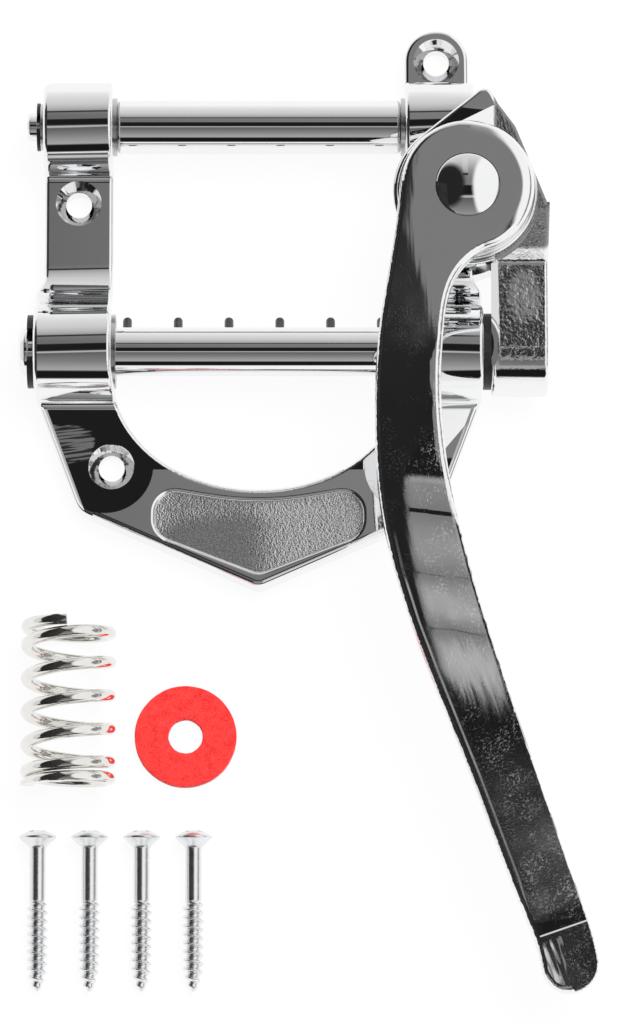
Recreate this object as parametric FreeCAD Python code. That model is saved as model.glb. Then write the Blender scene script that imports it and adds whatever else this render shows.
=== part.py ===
"""Horseshoe tremolo tailpiece for a guitar, with its loose spring, felt washer and wood screws.

Millimetres. +X runs along the bars towards the arm, +Y towards the neck, +Z away from the guitar top.
The origin is on the mounting face, midway between the two rear screw holes.
"""
import FreeCAD
import Part
import math
import os

Vector = FreeCAD.Vector
X_AXIS = Vector(1, 0, 0)
Y_AXIS = Vector(0, 1, 0)
Z_AXIS = Vector(0, 0, 1)

# One overrun carries every cutting tool past the face it opens
OVERRUN = 2.0

# Frame casting, plan view
WINDOW_HALF_WIDTH = 29.2
WINDOW_ARC_Y = 19.0
WINDOW_ARC_DEPTH = 23.6
RAIL_OUTER_X = 43.0
REAR_BOSS_OUTER_X = 44.6
BUMP_BLEND = 3.0
REAR_CORNER_X = 36.0
REAR_CORNER_Y = -8.9
REAR_CORNER_RADIUS = 5.0
REAR_TIP_Y = -24.6
REAR_TIP_RADIUS = 3.0
FRONT_CORNER_RADIUS = 2.2
EAR_WIDTH = 12.9
EAR_HOLE_Y = 83.2
EAR_SIDE_STEP = 0.9
EAR_CORNER_SHARE = 0.49
SMALL_CORNER_RADIUS = 1.0
EAR_HEIGHT = 5.5

# Frame casting, side view
TENSION_AXIS_Y = 68.3
TENSION_AXIS_Z = 10.5
FRONT_BOSS_RADIUS = 9.0
FRONT_BOSS_TRIM = 0.6
STRING_AXIS_Y = 22.1
STRING_AXIS_Z = 12.0
REAR_BOSS_RADIUS = 9.6
RAIL_HEIGHT = 6.5
HEEL_HEIGHT = 5.5
PLATEAU_HEIGHT = 7.0
EAR_FOOT_RADIUS = 1.4
FRONT_BOSS_FOOT_RADIUS = 1.8
REAR_BOSS_FRONT_FOOT_RADIUS = 10.5
REAR_BOSS_BACK_FOOT_RADIUS = 2.0
FRAME_EDGE_RADIUS = 0.9

# Dished ground around each rear screw hole, and the recessed panel between them
DISH_RADIUS = 9.6
DISH_OUTSET = 1.2
DISH_Y = 0.0
PLATE_FRONT_Y = -0.8
PLATE_SIDE_MARGIN = 2.4
PLATE_EDGE_RADIUS = 1.2
PANEL_DEPTH = 1.0
PANEL_HALF_WIDTH = 20.6
PANEL_TOP_Y = -8.1
PANEL_TOP_RADIUS = 60.0
PANEL_SHOULDER_Y = -4.7
PANEL_WAIST_Y = -13.6
PANEL_TIP_Y = -21.6
PANEL_CORNER_RADIUS = 4.0
PANEL_TIP_RADIUS = 4.0
PANEL_RIM_RADIUS = 0.9

# Mounting screw holes
SCREW_HOLE_RADIUS = 2.6
COUNTERSINK_RADIUS = 4.6
REAR_HOLE_X = 29.4
RAIL_HOLE_X = -36.2
RAIL_HOLE_Y = 53.6

# Spring cup on the right rail
CUP_OUTER_RADIUS = 11.7
CUP_POCKET_RADIUS = 10.1
CUP_FLOOR = 3.5

# Bearing bushes
FRONT_BUSH_RADIUS = 4.3
REAR_BUSH_RADIUS = 6.2
BUSH_FLANGE_THICKNESS = 0.8
FRONT_BUSH_FLANGE_RADIUS = 5.8
REAR_BUSH_FLANGE_RADIUS = 7.4
RUNNING_CLEARANCE = 0.05
END_CLEARANCE = 0.1

# Tension bar, its washer and its clip
TENSION_BAR_RADIUS = 5.4
TENSION_JOURNAL_RADIUS = 2.85
TENSION_LEFT_STUB = 3.4
TENSION_RIGHT_DEPTH = 10.5
TENSION_WASHER_RADIUS = 4.65
TENSION_WASHER_THICKNESS = 0.7
TENSION_CLIP_RADIUS = 4.8
TENSION_CLIP_THICKNESS = 0.6
CLIP_GROOVE_DEPTH = 0.6
BAR_END_CHAMFER = 0.5
CLIP_SLOT_SHARE = 0.8

# String bar, its pins, clip and washer
STRING_BAR_RADIUS = 4.9
STRING_BAR_LEFT_STUB = 3.1
STRING_BAR_DOME = 1.2
STRING_CLIP_RADIUS = 7.3
STRING_CLIP_THICKNESS = 1.2
STRING_WASHER_RADIUS = 7.6
STRING_WASHER_THICKNESS = 1.4
PIN_COUNT = 6
PIN_END_MARGIN = 3.05
PIN_ROW_SHIFT = -0.9
PIN_RADIUS = 0.9
PIN_STAND = 3.8
PIN_DEPTH = 2.6
PIN_DROOP_DEG = 30.0

# Arm bracket
HUB_RADIUS = 9.0
HUB_NOSE_SHARE = 0.985
LEG_RIGHT_X = 57.4
BAR_END_INSET = 1.2
LEG_TOP_Z = 20.4
LEG_STEP_Y = 38.6
LEG_STEP_BLEND = 2.0
LEG_CREST_Y = 47.2
LEG_ROOT = 1.2
LEG_BURY = 0.4
LEG_UNDER_Y = 39.5
LEG_UNDER_Z = 12.5
LEG_UNDER_BLEND = 5.0
LEG_FOOT_Y = 30.5
LEG_FOOT_BLEND = 6.0
LEG_EDGE_RADIUS = 1.0
LEG_BEVEL = 1.3
PIVOT_X = 41.1
PIVOT_Y = 50.4
FLANGE_BOTTOM = 28.0
FLANGE_THICKNESS = 3.0
FLANGE_RADIUS = 14.6
FLANGE_EDGE_RADIUS = 0.8
TONGUE_X = 45.2
TONGUE_Y = 72.5
TONGUE_RADIUS = 1.9
NOTCH_X = 47.3
NOTCH_Y = 68.4
SKIRT_X = 50.7
SKIRT_Y = 63.8
SKIRT_RADIUS = 4.0
PLATFORM_RADIUS = 13.8
PLATFORM_HEIGHT = 1.2
PLATFORM_EDGE_RADIUS = 0.4
SPRING_CUP_OUTER_RADIUS = 12.0
SPRING_CUP_INNER_RADIUS = 10.3
SPRING_CUP_DEPTH = 2.5
SET_SCREW_RADIUS = 2.5
SET_SCREW_LENGTH = 4.0
SET_SCREW_SOCKET_RADIUS = 1.4
SET_SCREW_SOCKET_DEPTH = 2.0
HEX_SIDES = 6

# Pivot stack
SWIVEL_WASHER_RADIUS = 12.0
SWIVEL_WASHER_THICKNESS = 0.5
STUD_RADIUS = 3.0
STUD_HEAD_RADIUS = 6.3
STUD_HEAD_SEAT = 2.6
STUD_DOME_RISE = 1.6
STUD_TAIL = 1.0
NUT_WIDTH_ACROSS_FLATS = 10.0
NUT_THICKNESS = 4.0
SWIVEL_CLEARANCE = 0.06

# Tremolo arm
ARM_THICKNESS = 4.6
ARM_REACH = 158.6
ARM_AXIS_SLOPE_DEG = 7.86
ARM_HEAD_RADIUS = 13.1
ARM_WIDTH = 14.4
ARM_TOP_EDGE_RADIUS = 1.2
ARM_BOTTOM_EDGE_RADIUS = 0.7
ARM_DROP = 12.5
ARM_BEND_AT = 33.0
ARM_TIP_LENGTH = 14.1
ARM_BEND_RADIUS = 150.0
ARM_TIP_RISE = 1.6
ARM_TIP_BEND_RADIUS = 3.0
HEAD_LEFT_DEG = -115.0
HEAD_RIGHT_DEG = 10.9
# Edge points of the arm as shares of its reach along it and of its width across it
ARM_RIGHT_SHARES = ((0.1140, -0.355), (0.1658, -0.580), (0.2636, -0.770), (0.3619, -0.800),
                    (0.4855, -0.670), (0.6740, -0.300), (0.8764, 0.140), (0.9650, 0.275))
ARM_LEFT_SHARES = ((0.9650, -0.490), (0.8790, -0.670), (0.7383, -1.030), (0.5858, -1.450),
                   (0.4477, -1.735), (0.3739, -1.785), (0.3008, -1.736), (0.1545, -1.444), (0.0139, -0.985))

# Loose spring, lying on its side
SPRING_WIRE = 2.5
SPRING_OUTER_RADIUS = 9.45
SPRING_PITCH = 6.4
SPRING_LEAD_PITCH = 1.9
SPRING_CLOSED_GAP = 0.5
SPRING_LEAD_QUARTERS = 3
SPRING_OPEN_QUARTERS = 17
SPRING_CLOSED_QUARTERS = 5
SPRING_X = -37.5
SPRING_START_Y = -32.4

# Loose felt washer
FELT_RADIUS = 10.2
FELT_HOLE_RADIUS = 3.3
FELT_THICKNESS = 2.2
FELT_X = -14.5
FELT_Y = -53.7

# Loose wood screws, lying side by side
WOOD_SCREW_COUNT = 4
WOOD_SCREW_FIRST_X = -43.6
WOOD_SCREW_SPACING = 10.26
WOOD_SCREW_HEAD_Y = -72.6
WOOD_SCREW_LENGTH = 32.0
WOOD_SCREW_HEAD_RADIUS = 3.7
WOOD_SCREW_HEAD_RIM = 0.5
WOOD_SCREW_HEAD_CROWN = 0.4
WOOD_SCREW_HEAD_DEPTH = 2.6
WOOD_SCREW_SHANK_RADIUS = 1.6
WOOD_SCREW_SHANK_LENGTH = 11.0
WOOD_SCREW_THREAD_RADIUS = 2.05
WOOD_SCREW_POINT_LENGTH = 5.0
WOOD_SCREW_POINT_RADIUS = 0.3


# Shared drawing helpers

def in_plan(a, b):
    return Vector(a, b, 0)


def in_side(a, b):
    return Vector(0, a, b)


def rounded_edges(corners, place):
    """Closed outline through corners (a, b, radius): straight runs joined by tangent arcs."""
    count = len(corners)
    cuts = []
    for i in range(count):
        here = Vector(corners[i][0], corners[i][1], 0)
        before = Vector(corners[i - 1][0], corners[i - 1][1], 0) - here
        after = Vector(corners[(i + 1) % count][0], corners[(i + 1) % count][1], 0) - here
        before.normalize()
        after.normalize()
        radius = corners[i][2]
        if radius == 0:
            cuts.append((here, None, here))
            continue
        half = before.getAngle(after) / 2
        reach = radius / math.tan(half)
        inward = (before + after).normalize()
        middle = here + inward * (radius / math.sin(half) - radius)
        cuts.append((here + before * reach, middle, here + after * reach))
    edges = []
    for i in range(count):
        start, middle, end = cuts[i]
        following = cuts[(i + 1) % count][0]
        if middle is not None:
            arc = Part.Arc(place(start.x, start.y), place(middle.x, middle.y), place(end.x, end.y))
            edges.append(arc.toShape())
        edges.append(Part.LineSegment(place(end.x, end.y), place(following.x, following.y)).toShape())
    return edges


def prism(edges, direction):
    return Part.Face(Part.Wire(Part.__sortEdges__(edges))).extrude(direction)


def rod(radius, start, end):
    """Round bar of one radius between two points."""
    way = end - start
    return Part.makeCylinder(radius, way.Length, start, way)


def ring(outer, inner, start, end):
    unit = (end - start).normalize()
    return rod(outer, start, end).cut(rod(inner, start - unit * OVERRUN, end + unit * OVERRUN))


def block(low, high):
    size = high - low
    return Part.makeBox(size.x, size.y, size.z, low)


def soften(shape, edges, radius, name):
    """Round the given edges; a radius the shape cannot carry is lowered and named."""
    for share in (1.0, 0.75, 0.5):
        try:
            result = shape.makeFillet(radius * share, edges)
            if result.isValid() and result.Volume > 0:
                if share < 1:
                    print("note: edge radius lowered on", name, "to", radius * share)
                return result
        except Exception:
            continue
    print("note: edges left sharp on", name)
    return shape


def is_wall(face):
    """True for a face that stands upright everywhere."""
    u0, u1, v0, v1 = face.ParameterRange
    for share in (0.2, 0.5, 0.8):
        if abs(face.normalAt(u0 + (u1 - u0) * share, v0 + (v1 - v0) * share).z) > 1e-4:
            return False
    return True


def rim_edges(shape, above):
    """Edges where an upright face meets one that is not, higher than a level."""
    walls = []
    others = []
    for face in shape.Faces:
        (walls if is_wall(face) else others).append(face)
    found = []
    for wall in walls:
        for edge in wall.Edges:
            if edge.BoundBox.ZMax < above:
                continue
            for other in others:
                if any(edge.isSame(rival) for rival in other.Edges):
                    found.append(edge)
    return found


def along_tension(x):
    return Vector(x, TENSION_AXIS_Y, TENSION_AXIS_Z)


def along_string(x):
    return Vector(x, STRING_AXIS_Y, STRING_AXIS_Z)


def at_pivot(z):
    return Vector(PIVOT_X, PIVOT_Y, z)


# Frame casting

EAR_OUTER_X = WINDOW_HALF_WIDTH + EAR_WIDTH
EAR_HOLE_X = WINDOW_HALF_WIDTH + EAR_WIDTH / 2
EAR_END_Y = EAR_HOLE_Y + EAR_WIDTH / 2
LEFT_END_Y = TENSION_AXIS_Y + FRONT_BOSS_RADIUS - FRONT_BOSS_TRIM
TALL = STRING_AXIS_Z + REAR_BOSS_RADIUS + OVERRUN


def frame_plan():
    """Horseshoe outline from above; the inner end of the window is half an ellipse."""
    bump_front = STRING_AXIS_Y + REAR_BOSS_RADIUS + BUMP_BLEND
    bump_step = REAR_BOSS_OUTER_X - RAIL_OUTER_X
    bump_back = STRING_AXIS_Y - REAR_BOSS_RADIUS + bump_step
    ear_foot = LEFT_END_Y - EAR_SIDE_STEP
    ear_neck = ear_foot + BUMP_BLEND
    ear_corner = EAR_WIDTH * EAR_CORNER_SHARE
    corners = [
        (-WINDOW_HALF_WIDTH, WINDOW_ARC_Y, 0),
        (-WINDOW_HALF_WIDTH, LEFT_END_Y, SMALL_CORNER_RADIUS),
        (-RAIL_OUTER_X, LEFT_END_Y, FRONT_CORNER_RADIUS),
        (-RAIL_OUTER_X, bump_front + BUMP_BLEND, BUMP_BLEND),
        (-REAR_BOSS_OUTER_X, bump_front, BUMP_BLEND),
        (-REAR_BOSS_OUTER_X, bump_back, BUMP_BLEND),
        (-REAR_CORNER_X, REAR_CORNER_Y, REAR_CORNER_RADIUS),
        (0, REAR_TIP_Y, REAR_TIP_RADIUS),
        (REAR_CORNER_X, REAR_CORNER_Y, REAR_CORNER_RADIUS),
        (REAR_BOSS_OUTER_X, bump_back, BUMP_BLEND),
        (REAR_BOSS_OUTER_X, bump_front, BUMP_BLEND),
        (RAIL_OUTER_X, bump_front + BUMP_BLEND, BUMP_BLEND),
        (RAIL_OUTER_X, ear_foot, SMALL_CORNER_RADIUS),
        (EAR_OUTER_X, ear_neck, SMALL_CORNER_RADIUS),
        (EAR_OUTER_X, EAR_END_Y, ear_corner),
        (WINDOW_HALF_WIDTH, EAR_END_Y, ear_corner),
        (WINDOW_HALF_WIDTH, WINDOW_ARC_Y, 0),
    ]
    edges = rounded_edges(corners, in_plan)[:-1]
    ellipse = Part.Ellipse(in_plan(0, WINDOW_ARC_Y), WINDOW_HALF_WIDTH, WINDOW_ARC_DEPTH)
    edges.append(Part.ArcOfEllipse(ellipse, math.pi, 2 * math.pi).toShape())
    return edges


def boss_foot(centre_y, centre_z, boss_radius, level, radius, side):
    """Fillet between a round boss and a flat level: ends on the flat, middle, end on the boss."""
    rise = level + radius - centre_z
    run = math.sqrt((boss_radius + radius) ** 2 - rise ** 2)
    middle_y = centre_y + side * run
    middle_z = level + radius
    on_flat = Vector(middle_y, level, 0)
    share = boss_radius / (boss_radius + radius)
    on_boss = Vector(centre_y + side * run * share, centre_z + rise * share, 0)
    centre = Vector(middle_y, middle_z, 0)
    between = ((on_flat - centre).normalize() + (on_boss - centre).normalize()).normalize()
    return on_flat, centre + between * radius, on_boss


def frame_profile():
    """Side view of the casting: ear, front boss, rail, rear boss, heel."""
    front = EAR_END_Y + OVERRUN
    back = REAR_TIP_Y - OVERRUN
    ear = boss_foot(TENSION_AXIS_Y, TENSION_AXIS_Z, FRONT_BOSS_RADIUS, EAR_HEIGHT, EAR_FOOT_RADIUS, 1)
    rail_front = boss_foot(TENSION_AXIS_Y, TENSION_AXIS_Z, FRONT_BOSS_RADIUS, RAIL_HEIGHT,
                           FRONT_BOSS_FOOT_RADIUS, -1)
    rail_back = boss_foot(STRING_AXIS_Y, STRING_AXIS_Z, REAR_BOSS_RADIUS, RAIL_HEIGHT,
                          REAR_BOSS_FRONT_FOOT_RADIUS, 1)
    heel = boss_foot(STRING_AXIS_Y, STRING_AXIS_Z, REAR_BOSS_RADIUS, HEEL_HEIGHT,
                     REAR_BOSS_BACK_FOOT_RADIUS, -1)

    def line(a, b):
        return Part.LineSegment(in_side(a.x, a.y), in_side(b.x, b.y)).toShape()

    def arc(a, b, c):
        return Part.Arc(in_side(a.x, a.y), in_side(b.x, b.y), in_side(c.x, c.y)).toShape()

    front_top = Vector(TENSION_AXIS_Y, TENSION_AXIS_Z + FRONT_BOSS_RADIUS, 0)
    rear_top = Vector(STRING_AXIS_Y, STRING_AXIS_Z + REAR_BOSS_RADIUS, 0)
    return [
        line(Vector(back, 0, 0), Vector(front, 0, 0)),
        line(Vector(front, 0, 0), Vector(front, EAR_HEIGHT, 0)),
        line(Vector(front, EAR_HEIGHT, 0), ear[0]),
        arc(*ear),
        arc(ear[2], front_top, rail_front[2]),
        arc(rail_front[2], rail_front[1], rail_front[0]),
        line(rail_front[0], rail_back[0]),
        arc(*rail_back),
        arc(rail_back[2], rear_top, heel[2]),
        arc(heel[2], heel[1], heel[0]),
        line(heel[0], Vector(back, HEEL_HEIGHT, 0)),
        line(Vector(back, HEEL_HEIGHT, 0), Vector(back, 0, 0)),
    ]


def screw_hole(x, y, top):
    """Through hole with a right-angled countersink below the given level."""
    sink = COUNTERSINK_RADIUS - SCREW_HOLE_RADIUS
    hole = rod(SCREW_HOLE_RADIUS, Vector(x, y, -OVERRUN), Vector(x, y, top))
    cone = Part.makeCone(SCREW_HOLE_RADIUS, COUNTERSINK_RADIUS, sink, Vector(x, y, top - sink))
    clear = rod(COUNTERSINK_RADIUS, Vector(x, y, top), Vector(x, y, top + OVERRUN))
    return hole.fuse(cone).fuse(clear)


DISH_X = REAR_HOLE_X + DISH_OUTSET


def panel_rim(casting):
    """Upper edges of the recessed panel."""
    rim = []
    for edge in casting.Edges:
        box = edge.BoundBox
        level = abs(box.ZMin - PLATEAU_HEIGHT) + abs(box.ZMax - PLATEAU_HEIGHT)
        inside = max(-box.XMin, box.XMax) < PANEL_HALF_WIDTH + RUNNING_CLEARANCE
        inside = inside and PANEL_TIP_Y - RUNNING_CLEARANCE < box.YMin
        inside = inside and box.YMax < PANEL_SHOULDER_Y + RUNNING_CLEARANCE
        if inside and level < RUNNING_CLEARANCE:
            rim.append(edge)
    return rim


def make_frame():
    side = prism(frame_profile(), X_AXIS * (2 * REAR_BOSS_OUTER_X + 2 * OVERRUN))
    side.translate(X_AXIS * -(REAR_BOSS_OUTER_X + OVERRUN))
    casting = prism(frame_plan(), Z_AXIS * TALL).common(side)
    casting = soften(casting, rim_edges(casting, FRAME_EDGE_RADIUS), FRAME_EDGE_RADIUS, "frame rim")
    # Raised rear plate with a dished ground round each rear screw
    half_span = DISH_X + PLATE_SIDE_MARGIN
    low = Vector(-half_span, REAR_TIP_Y - OVERRUN, 0)
    high = Vector(half_span, PLATE_FRONT_Y, TALL)
    plate = prism(frame_plan(), Z_AXIS * PLATEAU_HEIGHT)
    plate = soften(plate, rim_edges(plate, PLATE_EDGE_RADIUS), PLATE_EDGE_RADIUS, "rear plate rim")
    plate = plate.common(block(low, high))
    for dish_x in (-DISH_X, DISH_X):
        dish = Vector(dish_x, DISH_Y, 0)
        plate = plate.cut(rod(DISH_RADIUS, dish - Z_AXIS * OVERRUN, dish + Z_AXIS * TALL))
    plate = max(plate.Solids, key=lambda solid: solid.Volume)
    casting = casting.fuse(plate)
    panel = [
        (-PANEL_HALF_WIDTH, PANEL_SHOULDER_Y, PANEL_CORNER_RADIUS),
        (-PANEL_HALF_WIDTH, PANEL_WAIST_Y, PANEL_CORNER_RADIUS),
        (0, PANEL_TIP_Y, PANEL_TIP_RADIUS),
        (PANEL_HALF_WIDTH, PANEL_WAIST_Y, PANEL_CORNER_RADIUS),
        (PANEL_HALF_WIDTH, PANEL_SHOULDER_Y, PANEL_CORNER_RADIUS),
        (0, PANEL_TOP_Y, PANEL_TOP_RADIUS),
    ]
    recess = prism(rounded_edges(panel, in_plan), Z_AXIS * (PANEL_DEPTH + OVERRUN))
    recess.translate(Z_AXIS * (PLATEAU_HEIGHT - PANEL_DEPTH))
    casting = casting.cut(recess)
    casting = soften(casting, panel_rim(casting), PANEL_RIM_RADIUS, "panel rim")
    # Spring cup on the right rail
    casting = casting.fuse(rod(CUP_OUTER_RADIUS, at_pivot(0), at_pivot(RAIL_HEIGHT)))
    casting = casting.cut(rod(CUP_POCKET_RADIUS, at_pivot(CUP_FLOOR), at_pivot(TALL)))
    # Bearing bores; the front right one is blind
    inner = WINDOW_HALF_WIDTH - OVERRUN
    outer = REAR_BOSS_OUTER_X + OVERRUN
    bores = [
        rod(FRONT_BUSH_RADIUS, along_tension(-outer), along_tension(-inner)),
        rod(FRONT_BUSH_RADIUS, along_tension(inner), along_tension(FRONT_BORE_END)),
        rod(REAR_BUSH_RADIUS, along_string(-outer), along_string(-inner)),
        rod(REAR_BUSH_RADIUS, along_string(inner), along_string(outer)),
        rod(REAR_BUSH_FLANGE_RADIUS, along_string(-inner), along_string(-WINDOW_HALF_WIDTH)),
        rod(REAR_BUSH_FLANGE_RADIUS, along_string(inner), along_string(WINDOW_HALF_WIDTH)),
    ]
    holes = [
        screw_hole(-REAR_HOLE_X, 0, HEEL_HEIGHT),
        screw_hole(REAR_HOLE_X, 0, HEEL_HEIGHT),
        screw_hole(RAIL_HOLE_X, RAIL_HOLE_Y, RAIL_HEIGHT),
        screw_hole(EAR_HOLE_X, EAR_HOLE_Y, EAR_HEIGHT),
    ]
    for tool in bores + holes:
        casting = casting.cut(tool)
    return casting.removeSplitter()


# Bearing bushes, each with a flange on the window side

FRONT_BORE_END = WINDOW_HALF_WIDTH + TENSION_RIGHT_DEPTH + TENSION_WASHER_THICKNESS
FLANGE_FACE = WINDOW_HALF_WIDTH - BUSH_FLANGE_THICKNESS


def make_bush(place, side, outer_end, outer, flange, journal):
    """Sleeve from the window wall outwards, plus its flange inside the window."""
    inner = journal + RUNNING_CLEARANCE
    sleeve = rod(outer, place(side * WINDOW_HALF_WIDTH), place(side * outer_end))
    collar = rod(flange, place(side * FLANGE_FACE), place(side * WINDOW_HALF_WIDTH))
    bore = rod(inner, place(side * (FLANGE_FACE - OVERRUN)), place(side * (outer_end + OVERRUN)))
    return sleeve.fuse(collar).cut(bore).removeSplitter()


# Tension bar with its washer and clip

TENSION_HALF = FLANGE_FACE - END_CLEARANCE
TENSION_CLIP_X = RAIL_OUTER_X + TENSION_WASHER_THICKNESS + END_CLEARANCE


def make_tension_bar():
    left = -(RAIL_OUTER_X + TENSION_LEFT_STUB)
    right = WINDOW_HALF_WIDTH + TENSION_RIGHT_DEPTH
    journal = rod(TENSION_JOURNAL_RADIUS, along_tension(left), along_tension(right))
    ends = [edge for edge in journal.Edges if edge.Closed]
    journal = journal.makeChamfer(BAR_END_CHAMFER, ends)
    body = rod(TENSION_BAR_RADIUS, along_tension(-TENSION_HALF), along_tension(TENSION_HALF))
    ends = [edge for edge in body.Edges if edge.Closed]
    body = body.makeChamfer(BAR_END_CHAMFER, ends)
    groove = ring(TENSION_BAR_RADIUS, TENSION_JOURNAL_RADIUS - CLIP_GROOVE_DEPTH,
                  along_tension(-TENSION_CLIP_X), along_tension(-TENSION_CLIP_X - TENSION_CLIP_THICKNESS))
    return body.fuse(journal).cut(groove)


def make_tension_washer():
    return ring(TENSION_WASHER_RADIUS, TENSION_JOURNAL_RADIUS + RUNNING_CLEARANCE,
                along_tension(-RAIL_OUTER_X), along_tension(-RAIL_OUTER_X - TENSION_WASHER_THICKNESS))


def make_open_clip(place, near, thickness, outer, seat):
    """Spring clip pushed on from above: ring with an open slot on its upper side."""
    clip = ring(outer, seat, place(near), place(near - thickness))
    middle = place(near)
    half = seat * CLIP_SLOT_SHARE
    low = Vector(near - thickness - OVERRUN, middle.y - half, middle.z)
    high = Vector(near + OVERRUN, middle.y + half, middle.z + outer + OVERRUN)
    return clip.cut(block(low, high))


# String bar with its pins, clip and washer

BAR_LEFT_X = -(REAR_BOSS_OUTER_X + STRING_BAR_LEFT_STUB)
BAR_RIGHT_X = LEG_RIGHT_X - BAR_END_INSET
STRING_CLIP_X = -(REAR_BOSS_OUTER_X + END_CLEARANCE)
STRING_WASHER_X = REAR_BOSS_OUTER_X + END_CLEARANCE
LEG_LEFT_X = STRING_WASHER_X + STRING_WASHER_THICKNESS
PIN_SPACING = 2 * (FLANGE_FACE - PIN_END_MARGIN) / (PIN_COUNT - 1)


def make_pin(index):
    """Round-headed pin set radially in the bar, drooping forwards."""
    x = PIN_ROW_SHIFT + PIN_SPACING * (index - (PIN_COUNT - 1) / 2)
    droop = math.radians(PIN_DROOP_DEG)
    way = Vector(0, math.cos(droop), -math.sin(droop))
    root = along_string(x) + way * (STRING_BAR_RADIUS - PIN_DEPTH)
    tip = along_string(x) + way * (STRING_BAR_RADIUS + PIN_STAND)
    pin = rod(PIN_RADIUS, root, tip)
    end = [edge for edge in pin.Edges if edge.Closed and edge.CenterOfMass.isEqual(tip, PIN_RADIUS)]
    return pin.makeFillet(PIN_RADIUS / 2, end)


def make_string_bar(pins):
    bar = rod(STRING_BAR_RADIUS, along_string(BAR_LEFT_X), along_string(BAR_RIGHT_X))
    end = [edge for edge in bar.Edges if edge.Closed and edge.CenterOfMass.x < 0]
    bar = bar.makeFillet(STRING_BAR_DOME, end)
    groove = ring(STRING_BAR_RADIUS + OVERRUN, STRING_BAR_RADIUS - CLIP_GROOVE_DEPTH,
                  along_string(STRING_CLIP_X), along_string(STRING_CLIP_X - STRING_CLIP_THICKNESS))
    bar = bar.cut(groove)
    for pin in pins:
        bar = bar.cut(pin)
    return bar


def make_string_washer():
    return ring(STRING_WASHER_RADIUS, STRING_BAR_RADIUS,
                along_string(STRING_WASHER_X), along_string(LEG_LEFT_X))


# Arm bracket with its set screw

FLANGE_TOP = FLANGE_BOTTOM + FLANGE_THICKNESS
PLATFORM_TOP = FLANGE_TOP + PLATFORM_HEIGHT
SET_SCREW_X = (LEG_LEFT_X + BAR_RIGHT_X) / 2


def make_leg():
    """Hub and rising leg, one side profile carried across the width."""
    back = STRING_AXIS_Y - HUB_RADIUS
    low = STRING_AXIS_Z - HUB_RADIUS
    high = STRING_AXIS_Z + HUB_RADIUS
    nose = HUB_RADIUS * HUB_NOSE_SHARE
    crest_z = FLANGE_TOP - LEG_BURY
    root_y = LEG_CREST_Y + LEG_ROOT
    corners = [
        (back, low, nose),
        (back, high, nose),
        (LEG_STEP_Y, LEG_TOP_Z, LEG_STEP_BLEND),
        (LEG_CREST_Y, crest_z, 0),
        (root_y, crest_z, 0),
        (root_y, FLANGE_BOTTOM - LEG_BURY, 0),
        (LEG_UNDER_Y, LEG_UNDER_Z, LEG_UNDER_BLEND),
        (LEG_FOOT_Y, low, LEG_FOOT_BLEND),
    ]
    leg = prism(rounded_edges(corners, in_side), X_AXIS * (LEG_RIGHT_X - LEG_LEFT_X))
    leg.translate(X_AXIS * LEG_LEFT_X)
    inner = []
    outer = []
    for edge in leg.Edges:
        box = edge.BoundBox
        if box.ZMax > crest_z - LEG_BURY or box.XLength > LEG_BURY:
            continue
        (inner if box.XMax < LEG_LEFT_X + LEG_BURY else outer).append(edge)
    leg = soften(leg, inner, LEG_EDGE_RADIUS, "bracket leg inner edge")
    leg = soften(leg, outer, FLANGE_EDGE_RADIUS, "bracket leg outer edge")
    # Ground bevel along the inner top edge, from the hub to the foot of the slope
    start_y = back - OVERRUN
    low_corner = Vector(LEG_LEFT_X - OVERRUN, start_y, LEG_TOP_Z - LEG_BEVEL - OVERRUN)
    far_corner = Vector(LEG_LEFT_X + LEG_BEVEL + OVERRUN, start_y, LEG_TOP_Z + OVERRUN)
    near_corner = Vector(LEG_LEFT_X - OVERRUN, start_y, LEG_TOP_Z + OVERRUN)
    wedge = Part.Face(Part.makePolygon([low_corner, far_corner, near_corner, low_corner]))
    return leg.cut(wedge.extrude(Vector(0, LEG_STEP_Y - start_y, 0)))


def make_flange():
    """Platform plate: round behind, with a tongue towards the neck and a straight right edge."""
    out_x = LEG_RIGHT_X - PIVOT_X
    reach = Vector(TONGUE_X - PIVOT_X, TONGUE_Y - PIVOT_Y, 0)
    turn = math.atan2(reach.y, reach.x) + math.acos(FLANGE_RADIUS / reach.Length)
    meet = math.asin((LEG_CREST_Y - PIVOT_Y) / FLANGE_RADIUS)

    def on_rim(angle):
        return Vector(PIVOT_X + FLANGE_RADIUS * math.cos(angle), PIVOT_Y + FLANGE_RADIUS * math.sin(angle), 0)

    first = on_rim(turn)
    last = on_rim(meet)
    corners = [
        (first.x, first.y, 0),
        (TONGUE_X, TONGUE_Y, TONGUE_RADIUS),
        (NOTCH_X, NOTCH_Y, SMALL_CORNER_RADIUS),
        (SKIRT_X, SKIRT_Y, SKIRT_RADIUS),
        (PIVOT_X + out_x, LEG_CREST_Y, 0),
        (last.x, last.y, 0),
    ]
    edges = rounded_edges(corners, in_plan)[:-1]
    edges.append(Part.Arc(last, on_rim((meet + turn) / 2 - math.pi), first).toShape())
    flange = prism(edges, Z_AXIS * FLANGE_THICKNESS)
    flange = soften(flange, rim_edges(flange, FLANGE_THICKNESS), FLANGE_EDGE_RADIUS, "bracket platform")
    flange.translate(Z_AXIS * FLANGE_BOTTOM)
    return flange


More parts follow.
